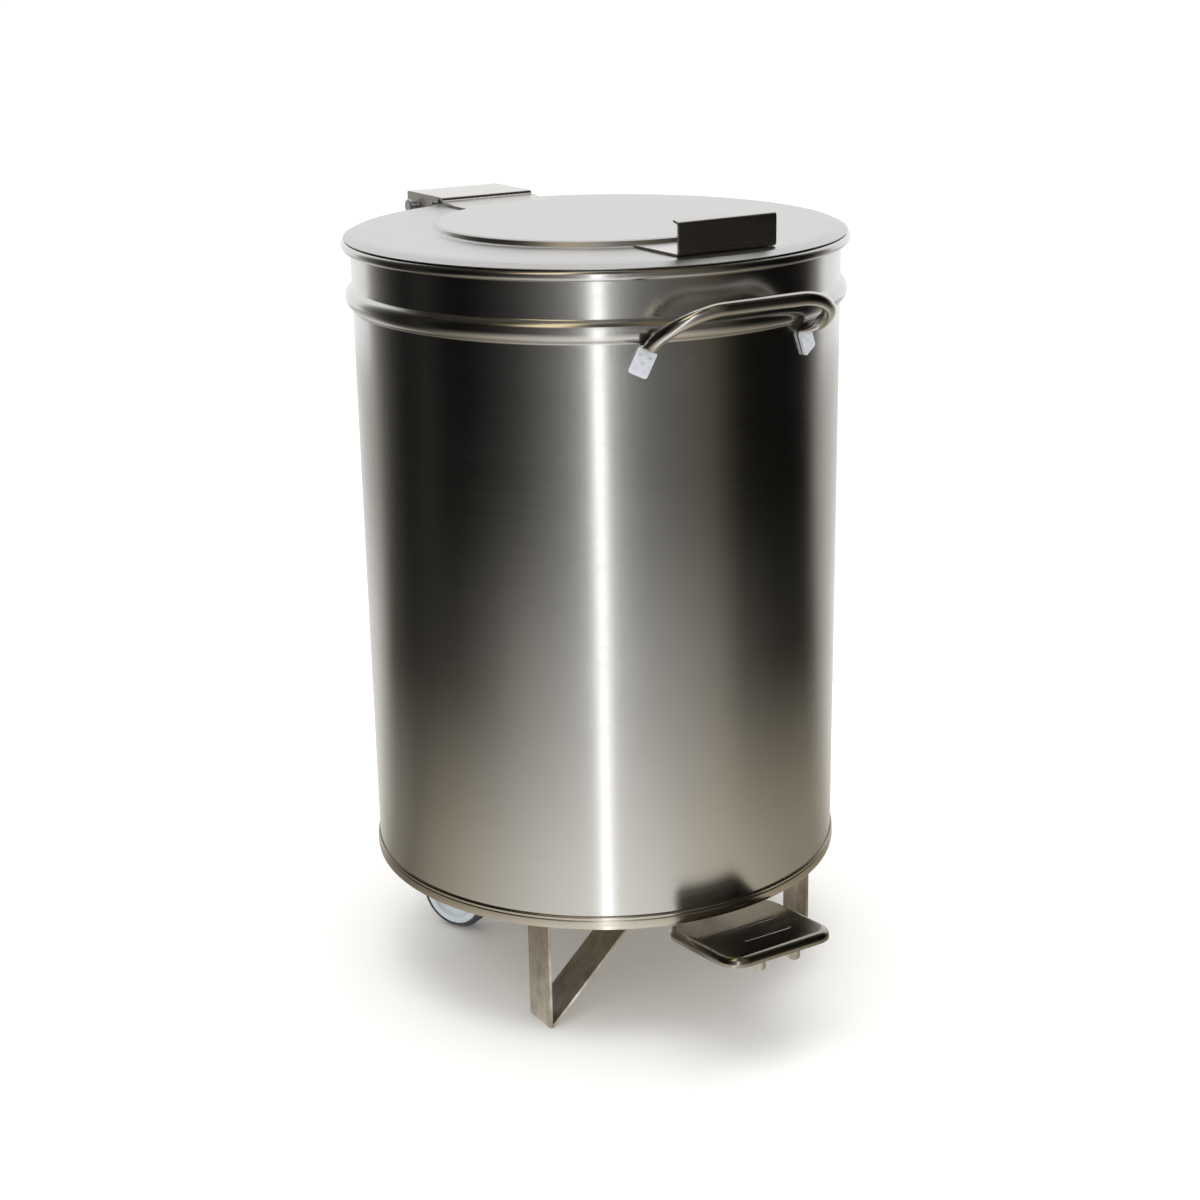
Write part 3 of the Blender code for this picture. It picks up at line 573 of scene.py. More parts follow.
def section_ring(centre, across, normal, half_w, half_t, squareness, count=40):
    """Rounded section: squareness 2 is an ellipse, larger is boxier."""
    ring = []
    for i in range(count):
        angle = 2 * math.pi * (i + 0.5) / count
        c, s = math.cos(angle), math.sin(angle)
        x = math.copysign(abs(c) ** (2 / squareness), c) * half_w
        y = math.copysign(abs(s) ** (2 / squareness), s) * half_t
        ring.append(centre + across * x + normal * y)
    return ring


def handle_frame():
    """Centre of the right pad and its outward, sideways and upward directions."""
    outward = Vector((math.sin(PAD_ANGLE), -math.cos(PAD_ANGLE), 0))
    sideways = Vector((math.cos(PAD_ANGLE), math.sin(PAD_ANGLE), 0))
    up_pad = Vector((0, 0, 1)) * math.cos(PAD_TILT) - sideways * math.sin(PAD_TILT)
    centre = outward * (BODY_R + 0.4 * MM + PAD_HALF_T) + Vector((0, 0, PAD_Z))
    return centre, outward, up_pad


def half_tube():
    """Centre line of the right half with each point's share of the way from flat to round."""
    centre, outward, up_pad = handle_frame()
    high = centre + up_pad * PAD_HALF_L
    bend = high + outward * 17 * MM + Vector((0, 0, 6)) * MM
    leave = Vector((0.1, -0.8, 0.58)).normalized()
    first = bezier(high, high + outward * 5 * MM, bend - leave * 7 * MM, bend, 24)
    second = bezier(bend, bend + leave * 26 * MM, GRIP + Vector((26 * MM, 0, 0)), GRIP, 36)
    path = [high - up_pad * 3 * MM, high - up_pad * 1.2 * MM, high]
    share = [0, 0, 0]
    path += first + second + [Vector((x * MM, GRIP.y, GRIP.z)) for x in (30, 20, 10, 0)]
    share += [(i + 1) / 24 for i in range(24)] + [1] * 40
    return path, share, outward


def make_front_handle(look, pad_look):
    """Bent tube on two pressed pads; five resistance-weld dimples in each pad."""
    path, share, normal = half_tube()
    rings = []
    for i, point in enumerate(path):
        last = i + 1 == len(path)
        ahead = Vector((-1, 0, 0)) if last else (path[i + 1] - point).normalized()
        behind = (point - path[i - 1]).normalized() if i else ahead
        tangent = ahead if last else (ahead + behind).normalized()
        normal = (normal - tangent * normal.dot(tangent)).normalized()
        blend = share[i]
        half_w = 0.86 * PAD_HALF_W + (TUBE_R - 0.86 * PAD_HALF_W) * blend
        half_t = PAD_HALF_T + (TUBE_R - PAD_HALF_T) * blend ** 2.4
        rings.append(section_ring(point, tangent.cross(normal), normal, half_w, half_t, 5 - 3 * blend))
    bm = bmesh.new()
    loops = [[bm.verts.new(co) for co in ring] for ring in rings]
    for first, second in zip(loops, loops[1:]):
        for i in range(len(first)):
            j = (i + 1) % len(first)
            bm.faces.new((first[i], first[j], second[j], second[i]))
    bm.faces.new(loops[0])
    tube = add_mesh("front_handle_tube", bm)
    mirror = tube.modifiers.new("other_half", "MIRROR")
    mirror.merge_threshold = 0.00005
    put(bake(tube, 60), look, "front_handle")

    centre, outward, up_pad = handle_frame()
    across = up_pad.cross(outward).normalized()
    for side in (-1, 1):
        place = Matrix((across, up_pad, outward)).transposed().to_4x4()
        place = Matrix.Translation(centre) @ place
        outline = [(-PAD_HALF_W, -PAD_HALF_L), (PAD_HALF_W, -PAD_HALF_L),
                   (PAD_HALF_W, PAD_HALF_L), (-PAD_HALF_W, PAD_HALF_L)]
        outline = fillet(outline, 2.6 * MM, 8, closed=True)
        word = "left" if side < 0 else "right"
        pad = extruded("handle_pad_" + word, outline, PLANE_XY, -PAD_HALF_T, PAD_HALF_T)
        for x, y in ((-4.2, 6.4), (4.2, 6.4), (0, 0), (-4.2, -6.4), (4.2, -6.4)):
            bm = bmesh.new()
            bmesh.ops.create_uvsphere(bm, u_segments=28, v_segments=16, radius=2.3 * MM)
            bmesh.ops.translate(bm, vec=(x * MM, y * MM, PAD_HALF_T + 1.1 * MM), verts=bm.verts)
            combine(pad, add_mesh("dent", bm), "DIFFERENCE")
        bevel(pad, 0.35 * MM, 3, 25)
        pad.data.transform(place)
        if side < 0:
            pad.data.transform(Matrix.Scale(-1, 4, (1, 0, 0)))
            pad.data.flip_normals()
        put(pad, pad_look, "front_handle")


# ---------------------------------------------------------------- lid

def make_lid(look):
    """Pressed lid: raised disc with a soft step, flat, and a rolled shoulder that ends at the edge."""
    top = LID_FLAT_Z + DISC_RAISE
    path = [(0, top), (60 * MM, top), (120 * MM, top), (DISC_R, top), (DISC_R + 2.4 * MM, top - 1.2 * MM)]
    path += [(DISC_R + 4.2 * MM, LID_FLAT_Z + 0.9 * MM), (DISC_R + 6.6 * MM, LID_FLAT_Z)]
    path += [(180 * MM, LID_FLAT_Z), (217.5 * MM, LID_FLAT_Z), (224 * MM, LID_FLAT_Z - 1.2 * MM)]
    path += [(LID_R - 2.6 * MM, LID_EDGE_Z + 1.3 * MM), (LID_R, LID_EDGE_Z)]
    path = fillet(path, 2.2 * MM, 6)
    outline = [Vector(point) for point in path] + offset_path(path, 1 * MM)[::-1]
    outline[len(outline) // 2:] = [Vector((max(0, p.x), p.y)) for p in outline[len(outline) // 2:]]
    put(turned("lid_sheet", outline), look, "lid_panel")


def make_lid_handle(look):
    """Bent sheet: hollowed base, upright with a rounded foot and an inward lip."""
    low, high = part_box("lid_handle")
    base = low.z
    path = [(high.y, base), (low.y, base), (low.y, high.z - 1.5 * MM), (low.y + 8 * MM, high.z)]
    outline = sheet_outline(fillet(path, 3.5 * MM, 10), 2 * MM)
    pull = extruded("lid_pull", outline, PLANE_YZ, low.x, high.x)
    cutter = bar("disc_edge", (0, 0, base - 0.01), (0, 0, base + 0.01), DISC_R + 7.5 * MM, steps=TURN_STEPS)
    combine(pull, cutter, "DIFFERENCE")
    put(bevel(pull, 0.35 * MM), look, "lid_handle")


def make_hinge_strap(look):
    """Bent sheet over the rim: base on the lid, low riser, top plate and two side flanges."""
    half, sheet = 51 * MM, 1.8 * MM
    base = LID_FLAT_Z + GAP + sheet
    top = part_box("hinge_strap")[1].z
    rear = HINGE.y + 15 * MM
    path = [(rear, top - 9 * MM), (rear, top), (206 * MM, top), (204.5 * MM, base + 2.2 * MM)]
    path += [(178 * MM, base), (153 * MM, base)]
    outline = sheet_outline(fillet(path, 2.2 * MM, 6)[::-1], sheet)
    strap = extruded("hinge_strap_sheet", outline, PLANE_YZ, 0.4 * MM - half, half - 0.4 * MM)
    under = top - sheet / 2
    flange = [(212 * MM, under), (214 * MM, 721.5 * MM), (229 * MM, 721 * MM), (240 * MM, 709 * MM)]
    flange += arc((HINGE.y, HINGE.z), EAR_R, 230, 310, 16)
    flange += [(rear - 1 * MM, top - 8 * MM), (rear - 1 * MM, under)]
    for side in (-1, 1):
        ends = sorted((side * half, side * (half - sheet)))
        combine(strap, extruded("flange", flange, PLANE_YZ, *ends))
    reach = Vector((0.08, 0, 0))
    drill(strap, HINGE - reach, HINGE + reach, PIN_HOLE_R)
    put(bevel(strap, 0.3 * MM, 2), look, "hinge_strap")


def make_rod_lug(look):
    low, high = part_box("rod_lug")
    path = [(-8 * MM, low.z), (-8 * MM, high.z), (8 * MM, high.z), (8 * MM, low.z)]
    outline = sheet_outline(fillet(path, 3.4 * MM, 6), 3 * MM)
    lug = extruded("rod_clevis", outline, PLANE_XZ, -high.y, -low.y)
    reach = Vector((0.02, 0, 0))
    drill(lug, ROD_PIN - reach, ROD_PIN + reach, ROD_HOLE_R)
    put(bevel(lug, 0.3 * MM, 2), look, "rod_lug")
    half_pin = Vector((10.5 * MM, 0, 0))
    put(bar("rod_clevis_pin", ROD_PIN - half_pin, ROD_PIN + half_pin, ROD_PIN_R), look, "rod_pin")


# ---------------------------------------------------------------- hinge bracket and pins

def make_hinge_bracket(look):
    low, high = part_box("hinge_bracket")
    sheet = 3 * MM
    inner = high.x - sheet
    web_y = BODY_R + 0.4 * MM
    web_high = 703 * MM
    bracket = box("hinge_bracket_sheet", (low.x, web_y, low.z), (high.x, web_y + sheet, web_high))
    ear = [(web_y, low.z), (web_y, web_high), (233 * MM, web_high)]
    ear += arc((HINGE.y, HINGE.z), EAR_R, 140, -40, 24)
    for side in (-1, 1):
        ends = sorted((side * inner, side * (inner + sheet)))
        combine(bracket, extruded("ear", ear, PLANE_YZ, *ends))
    reach = Vector((0.08, 0, 0))
    drill(bracket, HINGE - reach, HINGE + reach, PIN_HOLE_R)
    put(bevel(bracket, 0.35 * MM, 2), look, "hinge_bracket")


def make_pin(name, centre, half_length, radius, look):
    """Headed pin along X with a retaining clip near its other end."""
    left, right = (centre + Vector((x, 0, 0)) for x in (-half_length, half_length))
    head_end = left - Vector((2.5 * MM, 0, 0))
    length = (right - head_end).x
    outline = [(0, 0), (radius * 1.5, 0), (radius * 1.7, 0.5 * MM), (radius * 1.7, 2.5 * MM)]
    outline += [(radius, 2.5 * MM), (radius, length - 0.6 * MM), (radius - 0.6 * MM, length), (0, length)]
    turn = Matrix.Translation(head_end) @ Matrix.Rotation(math.pi / 2, 4, "Y")
    put(turned(name + "_turned", outline, BAR_STEPS, turn), look, name)
    clip = name.replace("pin", "clip")
    start = right - Vector((3.2 * MM, 0, 0))
    ring = bar(clip + "_ring", start, start + Vector((1.5 * MM, 0, 0)), radius * 1.7,
               edge=0.2 * MM, bore=radius + GAP)
    put(ring, look, clip)


# ---------------------------------------------------------------- push rod and pedal

def make_push_rod(look):
    foot = Vector((0, ROD_PIN.y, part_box("push_rod")[0].z))
    half_eye = Vector((4.5 * MM, 0, 0))
    rod = bar("push_rod_bar", foot + Vector((0, 0, 1 * MM)), ROD_PIN, 4 * MM)
    combine(rod, bar("foot", foot, foot + Vector((0, 0, 5 * MM)), 7 * MM, edge=0.8 * MM))
    combine(rod, bar("eye", ROD_PIN - half_eye, ROD_PIN + half_eye, 7.5 * MM))
    drill(rod, ROD_PIN - half_eye * 2, ROD_PIN + half_eye * 2, ROD_HOLE_R)
    put(rod, look, "push_rod")


def inset(outline, distance):
    """Closed counter-clockwise outline moved inwards."""
    if not distance:
        return [Vector(point) for point in outline]
    moved = offset_path(outline[-1:] + outline + outline[:1], -distance)
    return moved[1:-1]


def make_pedal_plate(look):
    """Pressed foot plate: rounded turned-down edge, two pressed grooves, notches for the arms."""
    low, high = PEDAL_LOW, PEDAL_HIGH
    fold, sheet, steps = 7.2 * MM, 2 * MM, 14
    outline = [(low.x, low.y), (high.x, low.y), (high.x, high.y), (low.x, high.y)]
    outline = fillet(outline, 21 * MM, 20, closed=True)
    bm = bmesh.new()
    shells = []
    for skin in (0, sheet):
        radius = fold - skin
        rings = [(skin, low.z)]
        for i in range(steps + 1):
            angle = math.pi / 2 * i / steps
            rings.append((fold - radius * math.cos(angle), high.z - fold + radius * math.sin(angle)))
        shells.append([[bm.verts.new((p.x, p.y, z)) for p in inset(outline, inward)]
                       for inward, z in rings])
    outer, inner = shells
    rings = inner[::-1] + outer
    for first, second in zip(rings, rings[1:]):
        for i in range(len(first)):
            j = (i + 1) % len(first)
            bm.faces.new((first[i], first[j], second[j], second[i]))
    bm.faces.new(inner[-1])
    bm.faces.new(outer[-1])
    plate = add_mesh("pedal_tread", bm)
    grooves = ((-245, -43, 32), (-273, -22, 30))      # place and two ends, in millimetres
    for y, left, right in grooves:
        radius, length = 2.6 * MM, (right - left) * MM
        quarter = [(radius * math.sin(math.pi / 20 * i), radius * (1 - math.cos(math.pi / 20 * i)))
                   for i in range(11)]
        quarter += [(r, length - h) for r, h in quarter[::-1]]
        turn = Matrix.Translation((left * MM, y * MM, high.z + 1.3 * MM))
        cutter = turned("groove", quarter, 40, turn @ Matrix.Rotation(math.pi / 2, 4, "Y"))
        combine(plate, cutter, "DIFFERENCE")
    for side in (-1, 1):
        near, far = sorted((side * (ARM_X - ARM_T / 2 - GAP), side * (ARM_X + ARM_T / 2 + GAP)))
        notch = box("notch", (near, high.y - 6 * MM, high.z - 0.02), (far, high.y + 6 * MM, high.z - sheet))
        combine(plate, notch, "DIFFERENCE")
    bevel(plate, 0.3 * MM, 2)
    front_edge = Matrix.Translation((0, low.y, high.z))
    plate.data.transform(front_edge @ Matrix.Rotation(-PEDAL_SLOPE, 4, "X") @ front_edge.inverted())
    put(plate, look, "pedal_plate")


def arm_outline():
    """Side outline of a lever arm, from under the foot plate to its tail behind the drum."""
    low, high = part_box("pedal_arm_left")
    front, rear, tail = low.y, PEDAL_HIGH.y + 1 * MM, high.y
    push_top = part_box("push_plate")[1].z
    low_rear, high_rear = 76 * MM, 90 * MM
    nose_z, nose_r = 96.5 * MM, 7 * MM

    def under_plate(y):
        return PEDAL_HIGH.z - (y - PEDAL_LOW.y) * math.tan(PEDAL_SLOPE) - 2 * MM - GAP - 0.05 * MM

    outline = [(front, under_plate(front) - 3 * MM)]
    outline += arc((front + nose_r, nose_z), nose_r, 180, 270, 12)
    outline += [(-190 * MM, 84 * MM), (-130 * MM, low_rear), (100 * MM, low_rear)]
    outline += [(150 * MM, 77 * MM), (tail - 8 * MM, 77 * MM), (tail, 81 * MM), (tail, push_top)]
    outline += [(150 * MM, push_top), (100 * MM, high_rear), (-135 * MM, high_rear)]
    outline += [(rear, under_plate(rear)), (front + 3 * MM, under_plate(front + 3 * MM))]
    return outline


def make_lever(look):
    reach = Vector((0.05, 0, 0))
    for side in (-1, 1):
        name = "pedal_arm_left" if side < 0 else "pedal_arm_right"
        ends = sorted((side * (ARM_X - ARM_T / 2), side * (ARM_X + ARM_T / 2)))
        arm = extruded(name + "_bar", arm_outline(), PLANE_YZ, *ends)
        drill(arm, PEDAL_PIVOT - reach, PEDAL_PIVOT + reach, PIN_HOLE_R)
        put(bevel(arm, 0.5 * MM, 3), look, name)
    half = Vector((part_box("pedal_sleeve")[1].x, 0, 0))
    sleeve = bar("pedal_sleeve_tube", PEDAL_PIVOT - half, PEDAL_PIVOT + half, 6.5 * MM, bore=PIN_HOLE_R)
    put(sleeve, look, "pedal_sleeve")
    low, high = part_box("push_plate")
    put(bevel(box("push_plate_bar", low, high), 0.4 * MM), look, "push_plate")


def make_pedal_bracket(look):
    low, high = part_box("pedal_bracket")
    path = [(low.x, low.z), (low.x, high.z), (high.x, high.z), (high.x, low.z)]
    outline = sheet_outline(fillet(path, 3.6 * MM, 6), 3 * MM)
    bracket = extruded("pedal_channel", outline, PLANE_XZ, -high.y, -low.y)
    reach = Vector((0.05, 0, 0))
    drill(bracket, PEDAL_PIVOT - reach, PEDAL_PIVOT + reach, PIN_HOLE_R)
    put(bevel(bracket, 0.35 * MM, 2), look, "pedal_bracket")


# ---------------------------------------------------------------- castors

def hexagon(name, start, end, radius):
    """Six-sided head or nut with turned-off corners."""
    made = bar(name, start, end, radius, edge=0.9 * MM)
    return combine(made, bar("flats", start - (end - start), end + (end - start), radius, steps=6),
                   "INTERSECT")


def make_castor(side, plating, hub_look, tyre_look):
    """Swivel castor: top plate, kingpin, fork, axle, nut, hub and tyre."""
    word = "left" if side < 0 else "right"
    swivel = Vector((side * SWIVEL.x, SWIVEL.y, 0))
    turn = Matrix.Translation(swivel) @ Matrix.Rotation(-side * CASTOR_YAW, 4, "Z")
    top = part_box("castor_plate_" + word)[1].z
    plate_low = top - 3 * MM
    crown = 95 * MM
    pieces = []

    corners = [(x * 26 * MM, y * 26 * MM) for x, y in ((-1, -1), (1, -1), (1, 1), (-1, 1))]
    outline = fillet(corners, 5 * MM, 8, closed=True)
    plate = extruded("castor_top_" + word, outline, PLANE_XY, plate_low, top)
    pieces.append((bevel(plate, 0.4 * MM), plating, "castor_plate_" + word))
    head_low, head_high = crown - 8 * MM, crown - 2.5 * MM - GAP
    kingpin = [(0, head_low), (7.5 * MM, head_low), (9 * MM, head_low + 1.4 * MM), (9 * MM, head_high)]
    kingpin += [(5 * MM, head_high), (5 * MM, plate_low - GAP), (0, plate_low - GAP)]
    kingpin = turned("castor_rivet_" + word, kingpin, BAR_STEPS)
    pieces.append((kingpin, plating, "castor_kingpin_" + word))

    inner, outer = WHEEL_HALF + 2.5 * MM, WHEEL_HALF + 5 * MM
    fork = box("castor_yoke_" + word, (-outer, -20 * MM, crown - 2.5 * MM), (outer, 20 * MM, crown))
    race = [(0, crown - 1 * MM), (20 * MM, crown - 1 * MM), (20 * MM, crown + 9 * MM)]
    race += [(18.6 * MM, plate_low - 2.6 * MM), (17 * MM, plate_low - 1.2 * MM), (0, plate_low - 1.2 * MM)]
    combine(fork, turned("race", race, 96))
    cheek = [(-18 * MM, crown), (18 * MM, crown)]
    cheek += arc((-TRAIL, WHEEL_R), 9 * MM, 20, -200, 28)
    for wing in (-1, 1):
        combine(fork, extruded("cheek", cheek, PLANE_YZ, *sorted((wing * inner, wing * outer))))
    drill(fork, (0, 0, 0.08), (0, 0, 0.13), 5.3 * MM)
    axle_centre = Vector((0, -TRAIL, WHEEL_R))
    reach = Vector((0.03, 0, 0))
    drill(fork, axle_centre - reach, axle_centre + reach, PIN_HOLE_R)
    pieces.append((bevel(fork, 0.4 * MM, 2), plating, "castor_fork_" + word))

    head_start = axle_centre - Vector((outer + 4.5 * MM, 0, 0))
    axle = bar("castor_bolt_" + word, head_start + Vector((1 * MM, 0, 0)),
               axle_centre + Vector((outer + 7 * MM, 0, 0)), PIN_R)
    combine(axle, hexagon("head", head_start, head_start + Vector((4.2 * MM, 0, 0)), 6.5 * MM))
    pieces.append((axle, plating, "castor_axle_" + word))
    nut_start = axle_centre + Vector((outer + GAP, 0, 0))
    nut = hexagon("castor_locknut_" + word, nut_start, nut_start + Vector((5 * MM, 0, 0)), 6.5 * MM)
    drill(nut, axle_centre, axle_centre + reach, PIN_HOLE_R)
    pieces.append((nut, plating, "castor_nut_" + word))

    half, hub_r = WHEEL_HALF, WHEEL_R - 5 * MM
    lie_down = Matrix.Translation(axle_centre) @ Matrix.Rotation(math.pi / 2, 4, "Y")
    hub = [(4.4 * MM, half), (11 * MM, half), (13 * MM, 5 * MM), (26 * MM, 5 * MM)]
    hub += [(28 * MM, half - 2 * MM), (hub_r, half - 2 * MM)]
    hub = fillet(hub + [(r, -h) for r, h in hub[::-1]], 1 * MM, 4, closed=True)
    hub = turned("castor_hub_" + word, hub, WHEEL_STEPS, lie_down)
    pieces.append((hub, hub_look, "wheel_hub_" + word))
    inside = hub_r + GAP
    tyre = [(inside, half - 2 * MM), (inside + 1 * MM, half - 1 * MM), (WHEEL_R - 2 * MM, half - 3 * MM)]
    tyre += [(WHEEL_R, half - 7 * MM)]
    tyre = fillet(tyre + [(r, -h) for r, h in tyre[::-1]], 1.6 * MM, 5, closed=True)
    tyre = turned("castor_tyre_" + word, tyre, WHEEL_STEPS, lie_down)
    pieces.append((tyre, tyre_look, "wheel_tyre_" + word))

    for piece, look, node in pieces:
        piece.data.transform(turn)
        put(piece, look, node)


# ---------------------------------------------------------------- studio

def camera_axes():
    """Directions of the camera: to the right, up and forwards."""
    turn, pitch = CAMERA_TURN + CAMERA_YAW, CAMERA_PITCH
    forward = Vector((math.sin(turn) * math.cos(pitch), math.cos(turn) * math.cos(pitch), -math.sin(pitch)))
    right = Vector((math.cos(turn), -math.sin(turn), 0))
    up = right.cross(forward)
    level, lift = math.cos(CAMERA_ROLL), math.sin(CAMERA_ROLL)
    return right * level + up * lift, up * level - right * lift, forward


def make_camera():
    right, up, forward = camera_axes()
    data = bpy.data.cameras.new("camera")
    data.lens = LENS
    data.sensor_width = SENSOR
    made = bpy.data.objects.new("camera", data)
    made.matrix_world = Matrix.Translation((
        -CAMERA_DISTANCE * math.sin(CAMERA_TURN), -CAMERA_DISTANCE * math.cos(CAMERA_TURN),
        CAMERA_HEIGHT)) @ Matrix((right, up, -forward)).transposed().to_4x4()
    bpy.context.scene.collection.objects.link(made)
    bpy.context.scene.camera = made


# Radiance of the studio by direction: far off, at two nearer distances along the floor, and
# overhead. Each row is degrees from the camera's side (positive to its right), radiance, warmth.
STUDIO_FAR = (
    (-180, 1.1, 0.03), (-150, 0.8, 0.04), (-134, 0.56, 0.08), (-125, 0.42, 0.12), (-118, 0.17, 0.15),
    (-109, 0.05, 0.15), (-98, 0.01, 0.15), (-83, 0.03, 0.15), (-72, 0.008, 0.1), (-60, 0.004, 0.1),
    (-48, 0.015, 0.12), (-34, 0.05, 0.1), (-19, 0.17, 0.08), (-12, 0.27, 0.05), (-7, 0.38, 0.02),
    (-1.3, 0.46, 0), (-1, 7.4, 0), (1.2, 7.4, 0), (1.5, 0.56, 0), (6, 0.52, 0.02), (11, 0.36, 0.03),
    (20, 0.2, 0.05), (34, 0.14, 0.14), (50, 0.11, 0.34), (60, 0.03, 0.3), (67, 0.006, 0.2),
    (108, 0.004, 0.2), (114, 0.06, 0.2), (120, 0.34, 0.15), (134, 0.62, 0.08), (180, 1.1, 0.03))
STUDIO_MID = (
    (-180, 1.1, 0.03), (-134, 0.8, 0.06), (-125, 0.55, 0.12), (-114, 0.09, 0.2), (-97, 0.035, 0.2),
    (-83, 0.045, 0.2), (-65, 0.07, 0.2), (-49, 0.17, 0.16), (-34, 0.36, 0.14), (-19, 0.49, 0.08),
    (-11, 0.6, 0.05), (-1.3, 0.7, 0.03), (-1, 6.2, 0), (1.2, 6.2, 0), (1.5, 0.74, 0.02),
    (10, 0.68, 0.04), (20, 0.52, 0.08), (35, 0.42, 0.12), (50, 0.32, 0.22), (66, 0.1, 0.2),
    (85, 0.04, 0.25), (106, 0.03, 0.25), (115, 0.12, 0.2), (123, 0.4, 0.15), (134, 0.65, 0.08),
    (150, 0.95, 0.04), (180, 1.1, 0.03))
STUDIO_NEAR = (
    (-180, 1.1, 0.03), (-134, 0.9, 0.1), (-120, 0.6, 0.14), (-108, 0.34, 0.24), (-90, 0.23, 0.28),
    (-66, 0.46, 0.3), (-49, 0.62, 0.2), (-34, 0.78, 0.15), (-19, 0.95, 0.12), (-11, 1.0, 0.09),
    (-1.3, 1.04, 0.05), (-1, 4.6, 0), (1.2, 4.6, 0), (1.5, 1.08, 0.06), (10, 1.06, 0.08),
    (20, 0.98, 0.11), (35, 0.78, 0.18), (50, 0.66, 0.27), (66, 0.5, 0.3), (85, 0.39, 0.32),
    (106, 0.36, 0.32), (118, 0.5, 0.22), (134, 0.8, 0.14), (152, 1.0, 0.06), (180, 1.1, 0.03))
STUDIO_ABOVE = (
    (-180, 0.05, 0.2), (-60, 0.03, 0.3), (-46, 0.08, 0.4), (-38, 1.5, 0.45), (-18, 1.7, 0.45),
    (-11, 0.12, 0.4), (-5, 0.05, 0.3), (20, 0.08, 0.4), (40, 0.3, 0.5), (60, 0.05, 0.3),
    (180, 0.05, 0.2))
STUDIO_PEAK = 8.0           # strength of the emission; the ramps hold shares of it
STUDIO_TURN = math.atan2(-math.cos(CAMERA_TURN), -math.sin(CAMERA_TURN))
STUDIO_R = 3.2
STUDIO_TOP = 3.4
STUDIO_HOLE = 0.02          # left open at the middle of the floor and of the ceiling


def direction_ramp(s, share, table):
    """Colour by direction from one of the studio tables."""
    ramp = s.node("ShaderNodeValToRGB")
    marks = ramp.color_ramp.elements
    marks.remove(marks[-1])
    for i, (degrees, radiance, warmth) in enumerate(table):
        position = (degrees + 180) / 360
        mark = marks[0] if i == 0 else marks.new(position)
        mark.position = position
        level = radiance / STUDIO_PEAK
        mark.color = (level, level * (1 - 0.35 * warmth), level * (1 - warmth), 1)
    s.link(share, ramp.inputs["Fac"])
    return ramp.outputs["Color"]


def studio_look(name, table, by_distance=False):
    """Emission by direction round the bin, and by distance from it on the floor."""
    s = Shader(name)
    split = s.node("ShaderNodeSeparateXYZ")
    s.link(s.point, split.inputs[0])
    angle = s.math("ARCTAN2", split.outputs["Y"], split.outputs["X"])
    share = s.remap(angle, -math.pi, math.pi, 0, 1)
    color = direction_ramp(s, share, table)
    if by_distance:
        radius = s.node("ShaderNodeVectorMath", operation="LENGTH")
        s.link(s.point, radius.inputs[0])
        mid = s.remap(radius.outputs["Value"], 1.15, 2.0, 0, 1)
        color = s.mix(mid, direction_ramp(s, share, STUDIO_MID), color)
        near = s.remap(radius.outputs["Value"], 0.55, 1.1, 0, 1)
        color = s.mix(near, direction_ramp(s, share, STUDIO_NEAR), color)
    emission = s.node("ShaderNodeEmission")
    emission.inputs["Strength"].default_value = STUDIO_PEAK
    s.link(color, emission.inputs["Color"])
    output = s.tree.nodes["Material Output"]
    s.link(emission.outputs[0], output.inputs["Surface"])
    s.tree.nodes.remove(s.main)
    return s.made


def sector(name, look, rings, start_deg, end_deg, steps=120):
    """Surface swept round the bin; rings are (radius, height) and 0 degrees is the camera's side."""
    bm = bmesh.new()
    rows = []
    for i in range(steps + 1):
        angle = math.radians(start_deg + (end_deg - start_deg) * i / steps)
        rows.append([bm.verts.new((r * math.cos(angle), r * math.sin(angle), z)) for r, z in rings])
    for first, second in zip(rows, rows[1:]):
        for i in range(len(rings) - 1):
            bm.faces.new((first[i], first[i + 1], second[i + 1], second[i]))
    made = add_mesh(name, bm)
    made.rotation_euler = (0, 0, STUDIO_TURN)
    made.data.materials.append(look)
    made.visible_camera = made.visible_diffuse = made.visible_shadow = False
    return made


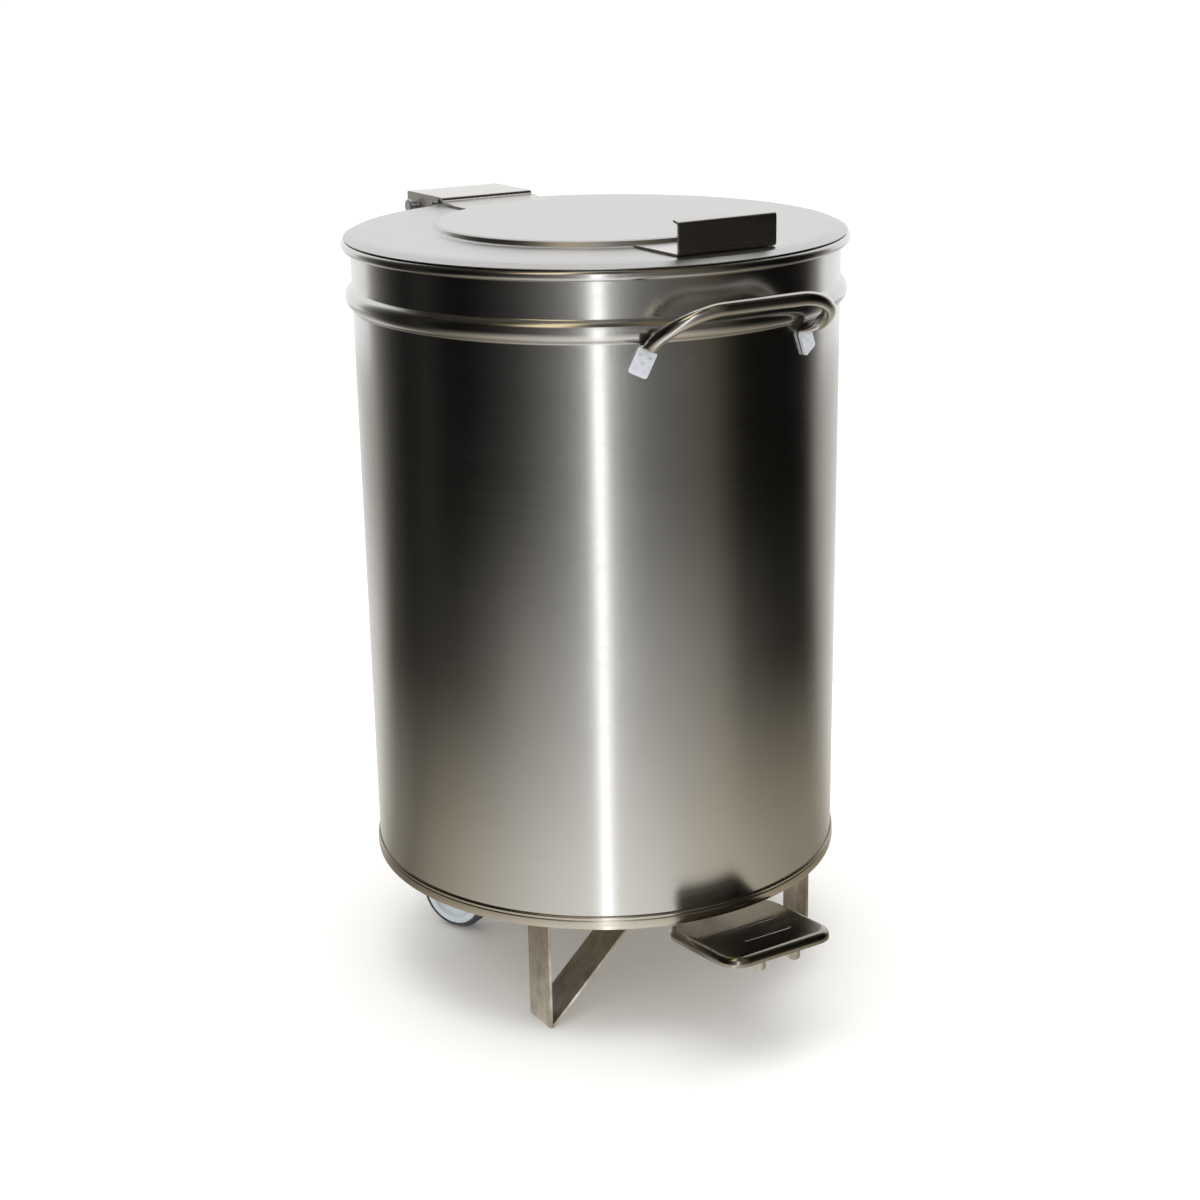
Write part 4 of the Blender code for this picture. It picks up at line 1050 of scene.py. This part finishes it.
def make_studio():
    """Pale floor in white light, with graded screens that only the polished metal sees."""
    world = bpy.data.worlds.new("white_room")
    bpy.context.scene.world = world
    world.use_nodes = True
    world.node_tree.nodes["Background"].inputs["Color"].default_value = (1, 1, 1, 1)
    world.node_tree.nodes["Background"].inputs["Strength"].default_value = 1.12

    floor_look = Shader("pale_floor")
    tone = floor_look.noise(3, 2)
    color = floor_look.mix(tone, (0.93, 0.92, 0.90), (0.95, 0.945, 0.93))
    floor_look.finish(color, 0.8, 0.0, Specular_IOR_Level=0.0)
    floor = turned("floor", [(0, -0.2 * MM), (0.78, -0.2 * MM), (0.78, -2 * MM), (0, -2 * MM)], 128)
    floor.data.materials.append(floor_look.made)
    floor.visible_glossy = False

    foot = (STUDIO_R, -1 * MM)
    edge = (STUDIO_R, STUDIO_TOP)
    by_floor = studio_look("studio_floor", STUDIO_FAR, True)
    sector("studio_floor", by_floor, [(STUDIO_HOLE, foot[1]), foot], -180, 180)
    sector("studio_wall", studio_look("studio_wall", STUDIO_FAR), [foot, edge], -128, 124)
    above = studio_look("studio_above", STUDIO_ABOVE)
    sector("studio_above", above, [edge, (STUDIO_HOLE, STUDIO_TOP)], -128, 124)

    top = bpy.data.lights.new("soft_top", "AREA")
    top.shape, top.size, top.energy = "DISK", 3.0, 45
    lamp = bpy.data.objects.new("soft_top", top)
    lamp.location = (0, 0, 3.2)
    lamp.visible_glossy = lamp.visible_camera = False
    bpy.context.scene.collection.objects.link(lamp)


def build():
    drum_look = drum_steel()
    lid_look = brushed_steel("lid_satin_steel", (1, 0.03, 0.4), (0.575, 0.57, 0.565), 0.34, 0.03, 0.6)
    ring_look = brushed_steel("ring_steel", (0.04, 0.04, 1), (0.54, 0.505, 0.44), 0.24, 0.08, 0.9)
    fitting = brushed_steel("fitting_steel", (0.05, 1, 1), (0.56, 0.545, 0.52), 0.24, 0.07, 0.6)
    tube_look = brushed_steel("tube_steel", (0.05, 1, 1), (0.58, 0.56, 0.53), 0.2, 0.05, 0.4)
    # The pedal's steel colour is darkened to brown-black to stand in for the dark reflections and shade it
    # shows under the drum: painted shade.
    pedal_look = brushed_steel("pedal_steel", (0.05, 1, 1), (0.34, 0.315, 0.27), 0.22, 0.06, 0.7)
    mill = mill_steel()
    plating = zinc()
    hub_look = hub_plastic()
    tyre_look = tyre_rubber()

    make_drum(drum_look)
    make_base_pan(ring_look)
    for side in (-1, 1):
        make_leg(side, mill)
        make_castor(side, plating, hub_look, tyre_look)
    make_front_handle(tube_look, pad_metal())
    make_hinge_bracket(fitting)
    make_pin("hinge_pin", HINGE, 56 * MM, PIN_R, plating)
    make_pin("pedal_pin", PEDAL_PIVOT, 32 * MM, PIN_R, plating)
    make_pedal_bracket(fitting)
    make_lid(lid_look)
    make_lid_handle(fitting)
    make_hinge_strap(fitting)
    make_rod_lug(fitting)
    make_push_rod(fitting)
    make_pedal_plate(pedal_look)
    make_lever(mill)
    make_studio()
    make_camera()


build()
bpy.context.scene.view_settings.view_transform = "Standard"
bpy.context.view_layer.update()
